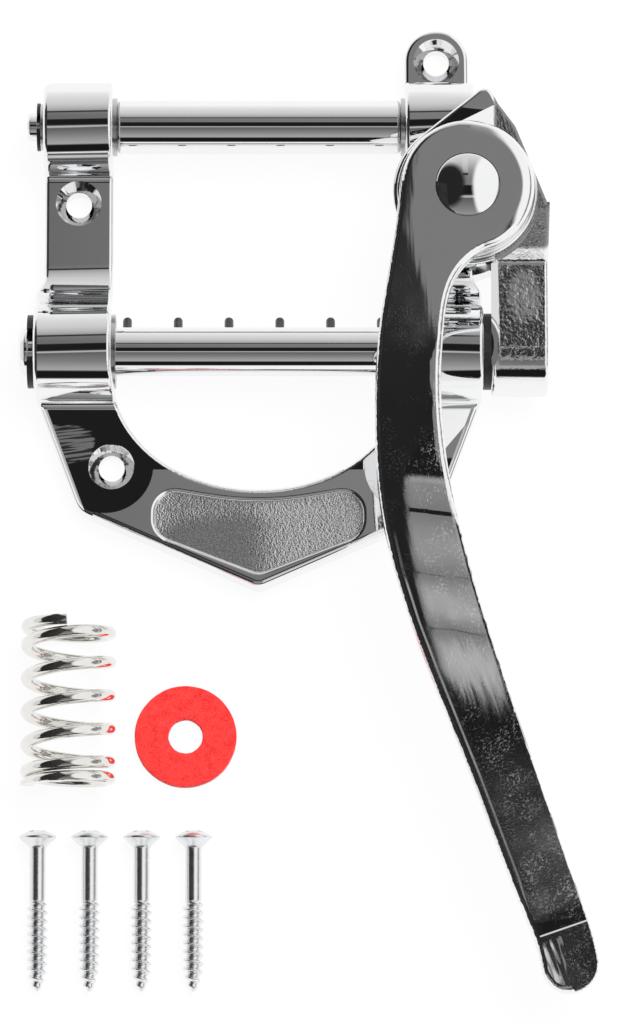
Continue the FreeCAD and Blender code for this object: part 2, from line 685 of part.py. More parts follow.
def make_bracket():
    bracket = make_leg().fuse(make_flange())
    disc = rod(PLATFORM_RADIUS, at_pivot(FLANGE_TOP - LEG_BURY), at_pivot(PLATFORM_TOP))
    top = [edge for edge in disc.Edges if edge.Closed and edge.BoundBox.ZMin > FLANGE_TOP]
    bracket = bracket.fuse(disc.makeFillet(PLATFORM_EDGE_RADIUS, top))
    # Spring cup under the platform, kept clear of the leg
    cup_low = FLANGE_BOTTOM - SPRING_CUP_DEPTH
    bracket = bracket.fuse(rod(SPRING_CUP_OUTER_RADIUS, at_pivot(cup_low), at_pivot(FLANGE_BOTTOM + LEG_BURY)))
    bracket = bracket.cut(rod(SPRING_CUP_INNER_RADIUS, at_pivot(0), at_pivot(FLANGE_BOTTOM)))
    bracket = bracket.cut(rod(STUD_RADIUS, at_pivot(cup_low), at_pivot(PLATFORM_TOP + OVERRUN)))
    bracket = bracket.cut(rod(STRING_BAR_RADIUS, along_string(LEG_LEFT_X - OVERRUN), along_string(BAR_RIGHT_X)))
    screw_top = Vector(SET_SCREW_X, STRING_AXIS_Y, STRING_AXIS_Z)
    screw_end = Vector(SET_SCREW_X, STRING_AXIS_Y, STRING_AXIS_Z - HUB_RADIUS - OVERRUN)
    bracket = bracket.cut(rod(SET_SCREW_RADIUS, screw_top, screw_end))
    return bracket.removeSplitter()


def hexagon(across_flats, z, height, centre_x, centre_y):
    radius = across_flats / 2 / math.cos(math.pi / HEX_SIDES)
    points = []
    for i in range(HEX_SIDES + 1):
        angle = 2 * math.pi * i / HEX_SIDES
        points.append(Vector(centre_x + radius * math.cos(angle), centre_y + radius * math.sin(angle), z))
    return Part.Face(Part.makePolygon(points)).extrude(Z_AXIS * height)


def make_set_screw():
    top = STRING_AXIS_Z - STRING_BAR_RADIUS
    low = top - SET_SCREW_LENGTH
    screw = rod(SET_SCREW_RADIUS, Vector(SET_SCREW_X, STRING_AXIS_Y, low), Vector(SET_SCREW_X, STRING_AXIS_Y, top))
    socket = hexagon(2 * SET_SCREW_SOCKET_RADIUS, low - OVERRUN, SET_SCREW_SOCKET_DEPTH + OVERRUN,
                     SET_SCREW_X, STRING_AXIS_Y)
    touching = rod(STRING_BAR_RADIUS, along_string(LEG_LEFT_X), along_string(BAR_RIGHT_X))
    return screw.cut(socket).cut(touching)


# Pivot stack: washer, stud, nut

WASHER_TOP = PLATFORM_TOP + SWIVEL_WASHER_THICKNESS
ARM_BASE = WASHER_TOP + SWIVEL_CLEARANCE
ARM_TOP = ARM_BASE + ARM_THICKNESS
HEAD_SEAT_Z = ARM_TOP - STUD_HEAD_SEAT


def make_swivel_washer():
    return ring(SWIVEL_WASHER_RADIUS, STUD_RADIUS, at_pivot(PLATFORM_TOP), at_pivot(WASHER_TOP))


def make_stud():
    """Domed head on a plain shank, turned as one piece."""
    low = FLANGE_BOTTOM - NUT_THICKNESS - STUD_TAIL
    under = HEAD_SEAT_Z + SWIVEL_CLEARANCE
    crown = ARM_TOP + STUD_DOME_RISE
    bulge = (STUD_HEAD_RADIUS ** 2 + STUD_DOME_RISE ** 2) / (2 * STUD_DOME_RISE)
    half_x = STUD_HEAD_RADIUS / 2
    half_z = crown - bulge + math.sqrt(bulge ** 2 - half_x ** 2)
    points = [Vector(0, 0, low), Vector(STUD_RADIUS, 0, low), Vector(STUD_RADIUS, 0, under),
              Vector(STUD_HEAD_RADIUS, 0, under), Vector(STUD_HEAD_RADIUS, 0, ARM_TOP)]
    edges = [Part.LineSegment(points[i], points[i + 1]).toShape() for i in range(len(points) - 1)]
    edges.append(Part.Arc(points[-1], Vector(half_x, 0, half_z), Vector(0, 0, crown)).toShape())
    edges.append(Part.LineSegment(Vector(0, 0, crown), points[0]).toShape())
    stud = Part.Face(Part.Wire(edges)).revolve(Vector(0, 0, 0), Z_AXIS)
    stud.translate(at_pivot(0))
    return stud


def make_nut():
    nut = hexagon(NUT_WIDTH_ACROSS_FLATS, FLANGE_BOTTOM - NUT_THICKNESS, NUT_THICKNESS, PIVOT_X, PIVOT_Y)
    return nut.cut(rod(STUD_RADIUS, at_pivot(0), at_pivot(ARM_TOP)))


# Tremolo arm

def on_arm(along, across):
    """Point of the arm's plan: along its length from the pivot, and across it to the right."""
    lean = math.radians(ARM_AXIS_SLOPE_DEG)
    return Vector(PIVOT_X + along * math.sin(lean) + across * math.cos(lean),
                  PIVOT_Y - along * math.cos(lean) + across * math.sin(lean), 0)


def on_arm_head(degrees):
    angle = math.radians(degrees)
    return on_arm(ARM_HEAD_RADIUS * math.cos(angle), ARM_HEAD_RADIUS * math.sin(angle))


def head_tangent(degrees):
    angle = math.radians(degrees)
    return on_arm(math.sin(angle), -math.cos(angle)) - on_arm(0, 0)


def arm_plan():
    right = [on_arm_head(HEAD_RIGHT_DEG)]
    right += [on_arm(ARM_REACH * a, ARM_WIDTH * b) for a, b in ARM_RIGHT_SHARES]
    left = [on_arm(ARM_REACH * a, ARM_WIDTH * b) for a, b in ARM_LEFT_SHARES]
    left.append(on_arm_head(HEAD_LEFT_DEG))
    lengthwise = (on_arm(1, 0) - on_arm(0, 0))
    right_edge = Part.BSplineCurve()
    right_edge.interpolate(Points=right, InitialTangent=head_tangent(HEAD_RIGHT_DEG), FinalTangent=lengthwise,
                           Scale=False)
    left_edge = Part.BSplineCurve()
    left_edge.interpolate(Points=left, InitialTangent=lengthwise * -1, FinalTangent=head_tangent(HEAD_LEFT_DEG),
                          Scale=False)
    tip = on_arm(ARM_REACH, ARM_WIDTH * (ARM_RIGHT_SHARES[-1][1] + ARM_LEFT_SHARES[0][1]) / 2)
    over = (HEAD_LEFT_DEG + HEAD_RIGHT_DEG) / 2 + 180
    head = Part.Arc(on_arm_head(HEAD_LEFT_DEG), on_arm_head(over), on_arm_head(HEAD_RIGHT_DEG))
    end = Part.Arc(right[-1], tip, left[0])
    return [head.toShape(), right_edge.toShape(), end.toShape(), left_edge.toShape()]


def arm_rim(arm, inward):
    """Upper (inward -1) or lower (inward 1) rim of the arm blank."""
    found = []
    for edge in rim_edges(arm, 0):
        middle = edge.valueAt((edge.FirstParameter + edge.LastParameter) / 2)
        if arm.isInside(middle + Z_AXIS * inward * ARM_BOTTOM_EDGE_RADIUS, RUNNING_CLEARANCE, True):
            found.append(edge)
    return found


def make_arm():
    reach = ARM_REACH + OVERRUN
    crease_at = ARM_REACH - ARM_TIP_LENGTH
    behind = -(ARM_HEAD_RADIUS + OVERRUN)
    crease_z = ARM_BASE - ARM_DROP
    tip_z = crease_z + ARM_TIP_RISE
    inner_bend = ARM_TIP_BEND_RADIUS
    outer_bend = ARM_TIP_BEND_RADIUS + ARM_THICKNESS
    corners = [
        (behind, ARM_BASE, 0),
        (ARM_BEND_AT, ARM_BASE, ARM_BEND_RADIUS),
        (crease_at, crease_z, outer_bend),
        (reach, tip_z, 0),
        (reach, tip_z + ARM_THICKNESS, 0),
        (crease_at, crease_z + ARM_THICKNESS, inner_bend),
        (ARM_BEND_AT, ARM_BASE + ARM_THICKNESS, ARM_BEND_RADIUS + ARM_THICKNESS),
        (behind, ARM_BASE + ARM_THICKNESS, 0),
    ]
    half = ARM_REACH

    def in_arm_side(a, b):
        return on_arm(a, -half) + Z_AXIS * b

    side = prism(rounded_edges(corners, in_arm_side), on_arm(0, 2 * half) - on_arm(0, 0))
    arm = prism(arm_plan(), Z_AXIS * (ARM_TOP + OVERRUN)).common(side)
    arm = soften(arm, arm_rim(arm, -1), ARM_TOP_EDGE_RADIUS, "arm upper edge")
    arm = soften(arm, arm_rim(arm, 1), ARM_BOTTOM_EDGE_RADIUS, "arm lower edge")
    arm = arm.cut(rod(STUD_RADIUS + SWIVEL_CLEARANCE, at_pivot(0), at_pivot(ARM_TOP + OVERRUN)))
    arm = arm.cut(rod(STUD_HEAD_RADIUS + SWIVEL_CLEARANCE, at_pivot(HEAD_SEAT_Z), at_pivot(ARM_TOP + OVERRUN)))
    return arm


# Loose spring, felt washer and wood screws

def biarc(start, start_way, end, end_way):
    """Two arcs, tangent to each other and to the given directions at both ends."""
    chord = end - start
    total = start_way + end_way
    a = 2 * (start_way.dot(end_way) - 1)
    b = -2 * chord.dot(total)
    c = chord.dot(chord)
    if abs(a) < 1e-9:
        d = -c / b
    else:
        d = (-b - math.sqrt(b * b - 4 * a * c)) / (2 * a)
    joint = (start + start_way * d + end - end_way * d) * 0.5
    arcs = []
    for first, apex, last in ((start, start + start_way * d, joint), (joint, end - end_way * d, end)):
        centre = (first + last) * 0.5
        rise = apex - centre
        half = (last - first).Length / 2
        sweep = 2 * math.atan2(rise.Length, half)
        middle = centre + Vector(rise).normalize() * (half * math.tan(sweep / 4))
        arcs.append(Part.Arc(first, middle, last).toShape())
    return arcs


def spring_stations():
    """Quarter-turn points of the coil line with their directions."""
    mean = SPRING_OUTER_RADIUS - SPRING_WIRE / 2
    closed = (SPRING_WIRE + SPRING_CLOSED_GAP) / 4
    opened = SPRING_PITCH / 4
    lead = SPRING_LEAD_PITCH / 4
    steps = [lead] * SPRING_LEAD_QUARTERS + [opened] * SPRING_OPEN_QUARTERS + [closed] * SPRING_CLOSED_QUARTERS
    stations = []
    advance = 0.0
    for i in range(len(steps) + 1):
        before = steps[max(i - 1, 0)]
        after = steps[min(i, len(steps) - 1)]
        angle = math.pi / 2 * i
        point = Vector(SPRING_X - mean * math.sin(angle), SPRING_START_Y - advance,
                       SPRING_OUTER_RADIUS + mean * math.cos(angle))
        slope = (before + after) / 2
        way = Vector(-mean * math.cos(angle) * math.pi / 2, -slope, -mean * math.sin(angle) * math.pi / 2)
        stations.append((point, way.normalize()))
        advance += after
    return stations


def make_spring():
    stations = spring_stations()
    arcs = []
    for i in range(len(stations) - 1):
        arcs += biarc(stations[i][0], stations[i][1], stations[i + 1][0], stations[i + 1][1])
    path = Part.Wire(arcs)
    circle = Part.Wire(Part.Circle(stations[0][0], stations[0][1], SPRING_WIRE / 2).toShape())
    shell = Part.BRepOffsetAPI.MakePipeShell(path)
    shell.add(circle)
    shell.build()
    shell.makeSolid()
    spring = shell.shape()
    if spring.Volume < 0:
        spring.reverse()
    # Least gap between neighbouring coils, measured on points of the coil line
    points = []
    for arc in arcs:
        points += arc.discretize(13)[:-1]
    turn = len(points) * 4 // (len(stations) - 1)
    least = min(points[i].distanceToPoint(points[j])
                for i in range(len(points)) for j in range(i + turn // 2, min(i + 2 * turn, len(points))))
    print("spring self-gap mm: %.3f" % (least - SPRING_WIRE))
    return spring


def make_felt():
    return ring(FELT_RADIUS, FELT_HOLE_RADIUS, Vector(FELT_X, FELT_Y, 0), Vector(FELT_X, FELT_Y, FELT_THICKNESS))


def make_wood_screw(index):
    """Countersunk wood screw lying on its head rim and its thread."""
    rim = WOOD_SCREW_HEAD_CROWN + WOOD_SCREW_HEAD_RIM
    neck = WOOD_SCREW_HEAD_CROWN + WOOD_SCREW_HEAD_DEPTH
    thread = neck + WOOD_SCREW_SHANK_LENGTH
    point = WOOD_SCREW_LENGTH - WOOD_SCREW_POINT_LENGTH
    step = WOOD_SCREW_THREAD_RADIUS - WOOD_SCREW_SHANK_RADIUS
    profile = [(0, 0), (WOOD_SCREW_HEAD_RADIUS, WOOD_SCREW_HEAD_CROWN), (WOOD_SCREW_HEAD_RADIUS, rim),
               (WOOD_SCREW_SHANK_RADIUS, neck), (WOOD_SCREW_SHANK_RADIUS, thread),
               (WOOD_SCREW_THREAD_RADIUS, thread + step), (WOOD_SCREW_THREAD_RADIUS, point),
               (WOOD_SCREW_POINT_RADIUS, WOOD_SCREW_LENGTH), (0, WOOD_SCREW_LENGTH), (0, 0)]
    wire = Part.makePolygon([Vector(0, -along, radius) for radius, along in profile])
    screw = Part.Face(wire).revolve(Vector(0, 0, 0), Y_AXIS)
    if screw.Volume < 0:
        screw.reverse()
    tilt = math.atan2(WOOD_SCREW_HEAD_RADIUS - WOOD_SCREW_THREAD_RADIUS, point - rim)
    screw.rotate(Vector(0, 0, 0), X_AXIS, math.degrees(tilt))
    lift = rim * math.sin(tilt) + WOOD_SCREW_HEAD_RADIUS * math.cos(tilt)
    screw.translate(Vector(WOOD_SCREW_FIRST_X + WOOD_SCREW_SPACING * index, WOOD_SCREW_HEAD_Y, lift))
    return screw


# Every piece under its node name

nodes = {}
nodes["frame"] = make_frame()
for word, side in (("left", -1), ("right", 1)):
    front_end = RAIL_OUTER_X if side < 0 else FRONT_BORE_END
    nodes["front_bush_" + word] = make_bush(along_tension, side, front_end, FRONT_BUSH_RADIUS,
                                            FRONT_BUSH_FLANGE_RADIUS, TENSION_JOURNAL_RADIUS)
    nodes["rear_bush_" + word] = make_bush(along_string, side, REAR_BOSS_OUTER_X, REAR_BUSH_RADIUS,
                                           REAR_BUSH_FLANGE_RADIUS, STRING_BAR_RADIUS)
nodes["tension_bar"] = make_tension_bar()
nodes["tension_bar_washer"] = make_tension_washer()
nodes["tension_bar_clip"] = make_open_clip(along_tension, -TENSION_CLIP_X, TENSION_CLIP_THICKNESS,
                                           TENSION_CLIP_RADIUS, TENSION_JOURNAL_RADIUS - CLIP_GROOVE_DEPTH)
string_pins = [make_pin(i) for i in range(PIN_COUNT)]
nodes["string_bar"] = make_string_bar(string_pins)
for i, pin in enumerate(string_pins):
    nodes["string_pin_%d" % (i + 1)] = pin
nodes["string_bar_clip"] = make_open_clip(along_string, STRING_CLIP_X, STRING_CLIP_THICKNESS,
                                          STRING_CLIP_RADIUS, STRING_BAR_RADIUS - CLIP_GROOVE_DEPTH)
nodes["string_bar_washer"] = make_string_washer()
nodes["arm_bracket"] = make_bracket()
nodes["bracket_set_screw"] = make_set_screw()
nodes["swivel_washer"] = make_swivel_washer()
nodes["pivot_stud"] = make_stud()
nodes["pivot_nut"] = make_nut()
nodes["arm"] = make_arm()
nodes["spring"] = make_spring()
nodes["felt_washer"] = make_felt()
for i in range(WOOD_SCREW_COUNT):
    nodes["wood_screw_%d" % (i + 1)] = make_wood_screw(i)

os.makedirs("parts", exist_ok=True)
for name, shape in nodes.items():
    solids = shape.Solids
    if len(solids) != 1 or not shape.isValid():
        print("note:", name, "solids", len(solids), "valid", shape.isValid())
    piece = solids[0] if len(solids) == 1 else shape
    piece.exportStep("parts/%s.step" % name)
print("nodes", len(nodes))
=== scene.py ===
"""Looks of a horseshoe tremolo tailpiece and the loose spring, felt washer and screws that come with it."""
import math

import bmesh
import bpy
import numpy as np
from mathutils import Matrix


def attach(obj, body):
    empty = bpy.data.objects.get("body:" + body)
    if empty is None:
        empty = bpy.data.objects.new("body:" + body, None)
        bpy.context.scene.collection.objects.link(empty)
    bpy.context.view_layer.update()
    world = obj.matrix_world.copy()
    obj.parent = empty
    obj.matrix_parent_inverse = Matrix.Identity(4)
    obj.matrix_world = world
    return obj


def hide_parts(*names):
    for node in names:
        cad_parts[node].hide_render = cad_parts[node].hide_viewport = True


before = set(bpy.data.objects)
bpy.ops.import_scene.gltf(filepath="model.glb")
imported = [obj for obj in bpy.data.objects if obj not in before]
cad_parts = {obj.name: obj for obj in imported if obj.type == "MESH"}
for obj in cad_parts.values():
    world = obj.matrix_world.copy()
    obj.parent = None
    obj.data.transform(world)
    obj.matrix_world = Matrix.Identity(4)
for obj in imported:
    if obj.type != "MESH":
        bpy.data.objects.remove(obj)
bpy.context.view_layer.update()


# Frame: one zinc casting in the shape of a horseshoe, screwed to the guitar's top. It is ground, polished
# and chromed all over. Only the sunken panel of its rear plate keeps the grainy skin of the mould.

MM = 0.001


class Wire:
    """One socket of a node tree. Arithmetic on wires adds Math nodes."""

    def __init__(self, finish, socket):
        self.finish = finish
        self.socket = socket

    def combine(self, operation, first, second):
        """A Math node on two values."""
        return self.finish.node("ShaderNodeMath", {"operation": operation}, {0: first, 1: second})

    def __add__(self, other):
        return self.combine("ADD", self, other)

    def __radd__(self, other):
        return self.combine("ADD", other, self)

    def __sub__(self, other):
        return self.combine("SUBTRACT", self, other)

    def __rsub__(self, other):
        return self.combine("SUBTRACT", other, self)

    def __mul__(self, other):
        return self.combine("MULTIPLY", self, other)

    def __rmul__(self, other):
        return self.combine("MULTIPLY", other, self)

    def __gt__(self, other):
        return self.combine("GREATER_THAN", self, other)

    def __lt__(self, other):
        return self.combine("LESS_THAN", self, other)

    def __abs__(self):
        return self.combine("ABSOLUTE", self, 0.0)

    def root(self):
        """The square root of the value."""
        return self.combine("SQRT", self, 0.0)

    def at_least(self, other):
        """The larger of two values."""
        return self.combine("MAXIMUM", self, other)


class Finish:
    """A node tree being drawn up: node() adds any node, surface() sets the shader's sockets."""

    def __init__(self, name, tree=None):
        if tree is None:
            self.material = bpy.data.materials.new(name)
            self.material.use_nodes = True
            tree = self.material.node_tree
        self.tree = tree

    def node(self, kind, settings, sockets, output=0):
        """Adds a node: its settings first, such as a ramp's stops, then its sockets' values or links."""
        made = self.tree.nodes.new(kind)
        for key, value in settings.items():
            if key == "stops":
                while len(made.color_ramp.elements) < len(value):
                    made.color_ramp.elements.new(0.5)
                for element, (place, colour) in zip(made.color_ramp.elements, value):
                    element.position = place
                    element.color = colour
            else:
                setattr(made, key, value)
        for key, value in sockets.items():
            self.feed(made.inputs[key], value)
        return Wire(self, made.outputs[output])

    def feed(self, socket, value):
        """Links a wire to a socket, or gives the socket a value of its own."""
        if isinstance(value, Wire):
            self.tree.links.new(value.socket, socket)
        else:
            socket.default_value = value

    def surface(self, sockets):
        """Sets sockets of the material's shader, and hands back the material."""
        shader = self.tree.nodes["Principled BSDF"]
        for key, value in sockets.items():
            self.feed(shader.inputs[key], value)
        return self.material

    def place(self):
        """Where a point lies on the object, in metres."""
        return self.node("ShaderNodeTexCoord", {}, {}, "Object")

    def axes(self):
        """The three object coordinates as wires, in metres."""
        apart = self.node("ShaderNodeSeparateXYZ", {}, {0: self.place()})
        return [Wire(self, out) for out in apart.socket.node.outputs]

    def noise(self, grain, detail=3.0, roughness=0.5):
        """Cloudy noise from 0 to 1; grain is the size of its lumps in metres."""
        return self.node("ShaderNodeTexNoise", {}, {
            "Vector": self.place(), "Scale": 1 / grain, "Detail": detail, "Roughness": roughness})

    def band(self, value, low, high):
        """Rises from 0 at low to 1 at high: 3 t^2 - 2 t^3 of the share t of the way between them."""
        return self.node("ShaderNodeMapRange", {"interpolation_type": "SMOOTHSTEP"}, {
            "Value": value, "From Min": low, "From Max": high})

    def between(self, value, rise, fall):
        """1 between two soft edges and 0 outside: a band over the first times 1 less one over the second."""
        return self.band(value, *rise) * (1 - self.band(value, *fall))

    def mixed(self, factor, first, second):
        """The colour that lies a share of the way from one colour to another."""
        made = self.node("ShaderNodeMix", {"data_type": "RGBA"}, {0: factor}, 2)
        self.feed(made.socket.node.inputs[6], first)
        self.feed(made.socket.node.inputs[7], second)
        return made

    def bump(self, height, depth, strength=1.0, onto=None):
        """The normal of a surface raised by height times depth, bent from the plain one or another bump."""
        sockets = {"Height": height, "Distance": depth, "Strength": strength}
        if onto is not None:
            sockets["Normal"] = onto
        return self.node("ShaderNodeBump", {}, sockets)


def drawn_noise(finish, length, width, turn, detail=1.0):
    """Noise drawn out one way in the level plane: the place turned back and divided by length and width."""
    vector = finish.node("ShaderNodeMapping", {"vector_type": "TEXTURE"}, {
        "Vector": finish.place(), "Rotation": (0, 0, turn), "Scale": (length, width, width)})
    return finish.node("ShaderNodeTexNoise", {}, {
        "Vector": vector, "Scale": 1.0, "Detail": detail, "Roughness": 0.4})


def hairlines(finish, length, width, turn, rarity):
    """Thin straight scratches: drawn-out noise, kept only above a high level."""
    raw = drawn_noise(finish, length, width, turn)
    return finish.band(raw, rarity, rarity + 0.06)


def merged_copy(node, name):
    """A copy of the CAD node's mesh with its loose triangles joined at their corners."""
    weld_gap = 0.002 * MM
    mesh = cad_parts[node].data.copy()
    mesh.name = name
    mesh.materials.clear()
    work = bmesh.new()
    work.from_mesh(mesh)
    bmesh.ops.remove_doubles(work, verts=work.verts, dist=weld_gap)
    work.to_mesh(mesh)
    work.free()
    return mesh


def smooth_copy(node, name, finish, body, sharp_deg):
    """The CAD node's own form, joined up so that polished faces shade smoothly."""
    return as_piece(name, merged_copy(node, name), finish, body, [node], sharp_deg)


def flat_keeping_normals(mesh, sharp_deg):
    """A normal for each corner of each face: the mean over the faces round that point that turn away by
    less than an angle, each counted by the whole area of the plane it lies in, so that flats stay flat."""
    depth_step = 0.02 * MM
    tilt_steps = 300
    count = len(mesh.polygons)
    normal = np.empty(count * 3)
    centre = np.empty(count * 3)
    area = np.empty(count)
    corners = np.empty(count, dtype=int)
    point = np.empty(len(mesh.loops), dtype=int)
    mesh.polygons.foreach_get("normal", normal)
    mesh.polygons.foreach_get("center", centre)
    mesh.polygons.foreach_get("area", area)
    mesh.polygons.foreach_get("loop_total", corners)
    mesh.loops.foreach_get("vertex_index", point)
    normal = normal.reshape(-1, 3)
    centre = centre.reshape(-1, 3)
    offset = (normal * centre).sum(1) / depth_step
    planes = np.column_stack([np.round(normal * tilt_steps), np.round(offset)])
    group = np.unique(planes, axis=0, return_inverse=True)[1].ravel()
    weight = np.bincount(group, area)[group]
    face = np.repeat(np.arange(count), corners)
    order = np.argsort(point, kind="stable")
    start = np.searchsorted(point[order], point)
    fan = np.bincount(point)[point]
    place = np.empty(len(point), dtype=int)
    place[order] = np.arange(len(point))
    place -= start
    total = np.zeros((len(point), 3))
    for step in range(fan.max()):
        other = face[order[start + (place + step) % fan]]
        near = (normal[face] * normal[other]).sum(1) > math.cos(math.radians(sharp_deg))
        share = np.where(near & (step < fan), weight[other], 0.0)
        total += share[:, None] * normal[other]
    return total / np.maximum(np.linalg.norm(total, axis=1), 1e-12)[:, None]


def as_piece(name, mesh, finish, body, nodes, sharp_deg):
    """Puts a mesh in the scene, smooth but for edges sharper than an angle, and ties it to its body."""
    mesh.materials.append(finish)
    mesh.polygons.foreach_set("use_smooth", np.ones(len(mesh.polygons), dtype=bool))
    mesh.set_sharp_from_angle(angle=math.radians(sharp_deg))
    mesh.normals_split_custom_set(flat_keeping_normals(mesh, sharp_deg))
    piece = bpy.data.objects.new(name, mesh)
    bpy.context.scene.collection.objects.link(piece)
    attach(piece, body)
    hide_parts(*nodes)
    return piece


def polished_chrome(name, haze, scratches):
    """Mirror chrome: faint clouds in its haze, and fine hairlines from handling."""
    finish = Finish(name)
    clouds = finish.noise(9 * MM, 4.0, 0.6)
    lines = hairlines(finish, 3.2 * MM, 0.10 * MM, 1.9, 0.73)
    cross = hairlines(finish, 2.4 * MM, 0.09 * MM, 0.7, 0.75)
    marks = (lines + cross) * scratches
    roughness = haze * (0.5 + clouds) + marks * 0.2
    colour = finish.mixed(clouds, (0.86, 0.865, 0.875, 1), (0.92, 0.92, 0.925, 1))
    normal = finish.bump(lines + cross, 0.002 * MM, scratches)
    return finish, roughness, colour, normal


panel_floor = 6.0 * MM
panel_front = -3.5 * MM
heel_top = 5.5 * MM
heel_front = 14 * MM
hole_reach = 29.4 * MM
slack = 0.1 * MM
casting, shine, tint, marks = polished_chrome("casting chrome", 0.035, 0.2)
x, y, z = casting.axes()
in_panel = (z > panel_floor - slack) * (z < panel_floor + 1.2 * slack) * (y < panel_front)
pits = casting.noise(0.36 * MM, 2.0, 0.6)
lumps = casting.noise(0.7 * MM, 2.0, 0.5)
rim_side = casting.band(abs(x + 1 * MM), 15 * MM, 19 * MM)
upper_side = casting.band(y + 0.006 / MM * x * x, -12 * MM, -8 * MM)
grain_depth = 0.06 + 0.8 * casting.band(x, -4 * MM, 10 * MM) + 0.25 * upper_side + 0.2 * rim_side
grain = casting.bump(pits + lumps * 0.5, 0.30 * MM, in_panel * grain_depth, marks)
# The ground round each rear screw is dressed to fall a little backwards, but for a level streaky patch
on_heel = (z > heel_top - slack) * (z < heel_top + slack) * (y < heel_front)
warp = 4 * MM * (casting.noise(5 * MM, 2.0, 0.5) - 0.5)
outward = abs(x) - hole_reach + warp
upward = y + warp
level_patch = casting.band(outward, 1.0 * MM, 4.0 * MM) * casting.band(upward, 0.0, 2.5 * MM)
level_patch = level_patch * (1 - casting.band(upward - 0.25 * outward, 5.0 * MM, 7.5 * MM))
streaks = casting.band(drawn_noise(casting, 9 * MM, 0.5 * MM, 0.12), 0.42, 0.56)
dressed = on_heel * (1 - level_patch * (0.62 + 0.38 * streaks))
# On the right it is dressed to fall outwards too, down to a slanting line, and level past that line
on_right = casting.band(x, 20 * MM, 22 * MM)
above_slant = casting.band(y - 1.19 * x, -40.9 * MM, -40.3 * MM)
past_slant = on_right * (1 - above_slant) * casting.band(y, 1.0 * MM, 2.5 * MM)
grain = casting.bump(y * 0.07, 1.0, dressed * (1 - past_slant), grain)
grain = casting.bump(x * -0.105, 1.0, on_heel * on_right * above_slant, grain)
# A narrow bevel runs along the slanting outer edge of that ground
bevel_width = 0.75 * MM
inside_edge = 0.938 * (43.4 * MM - abs(x)) + 0.347 * (y - 12.5 * MM)
bevel = (bevel_width - inside_edge).at_least(0.0)
grain = casting.bump(bevel * -0.62, 1.0, on_heel, grain)
casting_finish = casting.surface({
    "Base Color": tint,
    "Metallic": 1.0,
    "Roughness": shine * (1 - in_panel) + in_panel * (0.12 + 0.25 * pits),
    "Normal": grain,
})
smooth_copy("frame", "casting", casting_finish, "base", 28)


# Bushes: four sleeves turned from steel and pressed into the bosses, in which the two bars turn.
# Each has a thin flange that shows on the window's side of its boss.

def turned_steel(name, colour, roughness):
    """Plain turned steel: fine rings from the tool, which are noise drawn out square to the axis."""
    ring_width = 0.12 * MM
    ring_length = 6 * MM
    finish = Finish(name)
    streaks = finish.node("ShaderNodeMapping", {}, {
        "Vector": finish.place(), "Scale": (1 / ring_width, 1 / ring_length, 1 / ring_length)})
    rings = finish.node("ShaderNodeTexNoise", {}, {"Vector": streaks, "Scale": 1.0, "Detail": 2.0})
    clouds = finish.noise(3 * MM)
    return finish.surface({
        "Base Color": finish.mixed(clouds, [0.8 * c for c in colour] + [1], list(colour) + [1]),
        "Metallic": 1.0,
        "Roughness": roughness * (0.7 + 0.6 * rings),
        "Normal": finish.bump(rings, 0.004 * MM, 0.5),
    })


bush_steel = turned_steel("bush steel", (0.62, 0.62, 0.63), 0.22)
for node in ("front_bush_left", "front_bush_right", "rear_bush_left", "rear_bush_right"):
    smooth_copy(node, node.replace("bush", "sleeve"), bush_steel, "base", 30)


# Tension bar: a round steel bar, polished and chromed, under which the strings pass.
# It is turned down to a journal at each end and rolls freely in the front bushes.

def turned(name, along, radius, origin, axis, around):
    """Solid of revolution: each (along, radius) pair is swept in a circle about an axis through origin."""
    along = np.asarray(along, float)
    radius = np.asarray(radius, float)
    axis = np.asarray(axis, float) / np.linalg.norm(axis)
    side = np.cross(axis, [0.3, 0.5, 0.8])
    side /= np.linalg.norm(side)
    other = np.cross(axis, side)
    angle = np.linspace(0, 2 * np.pi, around, endpoint=False)
    ring = np.cos(angle)[:, None] * side + np.sin(angle)[:, None] * other
    points = np.asarray(origin, float) + along[:, None, None] * axis + radius[:, None, None] * ring
    return grid_mesh(name, points, True, False)


def grid_mesh(name, points, wrap_columns, wrap_rows):
    """Quads over a rows by columns array of points, closed round either way; doubled points are joined."""
    weld_gap = 0.0005 * MM
    rows, columns = points.shape[:2]
    row = np.arange(rows if wrap_rows else rows - 1)
    column = np.arange(columns if wrap_columns else columns - 1)
    r, c = np.meshgrid(row, column, indexing="ij")
    r1 = (r + 1) % rows
    c1 = (c + 1) % columns
    quads = np.stack([r * columns + c, r * columns + c1, r1 * columns + c1, r1 * columns + c], -1)
    mesh = bpy.data.meshes.new(name)
    mesh.from_pydata(points.reshape(-1, 3), [], quads.reshape(-1, 4))
    work = bmesh.new()
    work.from_mesh(mesh)
    bmesh.ops.remove_doubles(work, verts=work.verts, dist=weld_gap)
    bmesh.ops.recalc_face_normals(work, faces=work.faces)
    work.to_mesh(mesh)
    work.free()
    return mesh


def rounded_steps(steps, edge, count):
    """Profile through (along, radius) corners, each eased by a short curve: (1 - t)^2 of the point before
    the corner, 2 t (1 - t) of the corner and t^2 of the point after it, with t from 0 to 1."""
    longest = 0.45
    steps = np.asarray(steps, float)
    out = [steps[0]]
    for before, here, after in zip(steps[:-2], steps[1:-1], steps[2:]):
        into = before - here
        away = after - here
        reach_in = min(edge, longest * np.linalg.norm(into))
        reach_out = min(edge, longest * np.linalg.norm(away))
        t = np.linspace(0, 1, count)[:, None]
        first = here + into / np.linalg.norm(into) * reach_in
        last = here + away / np.linalg.norm(away) * reach_out
        out.extend((1 - t) ** 2 * first + 2 * t * (1 - t) * here + t ** 2 * last)
    out.append(steps[-1])
    return np.array(out)


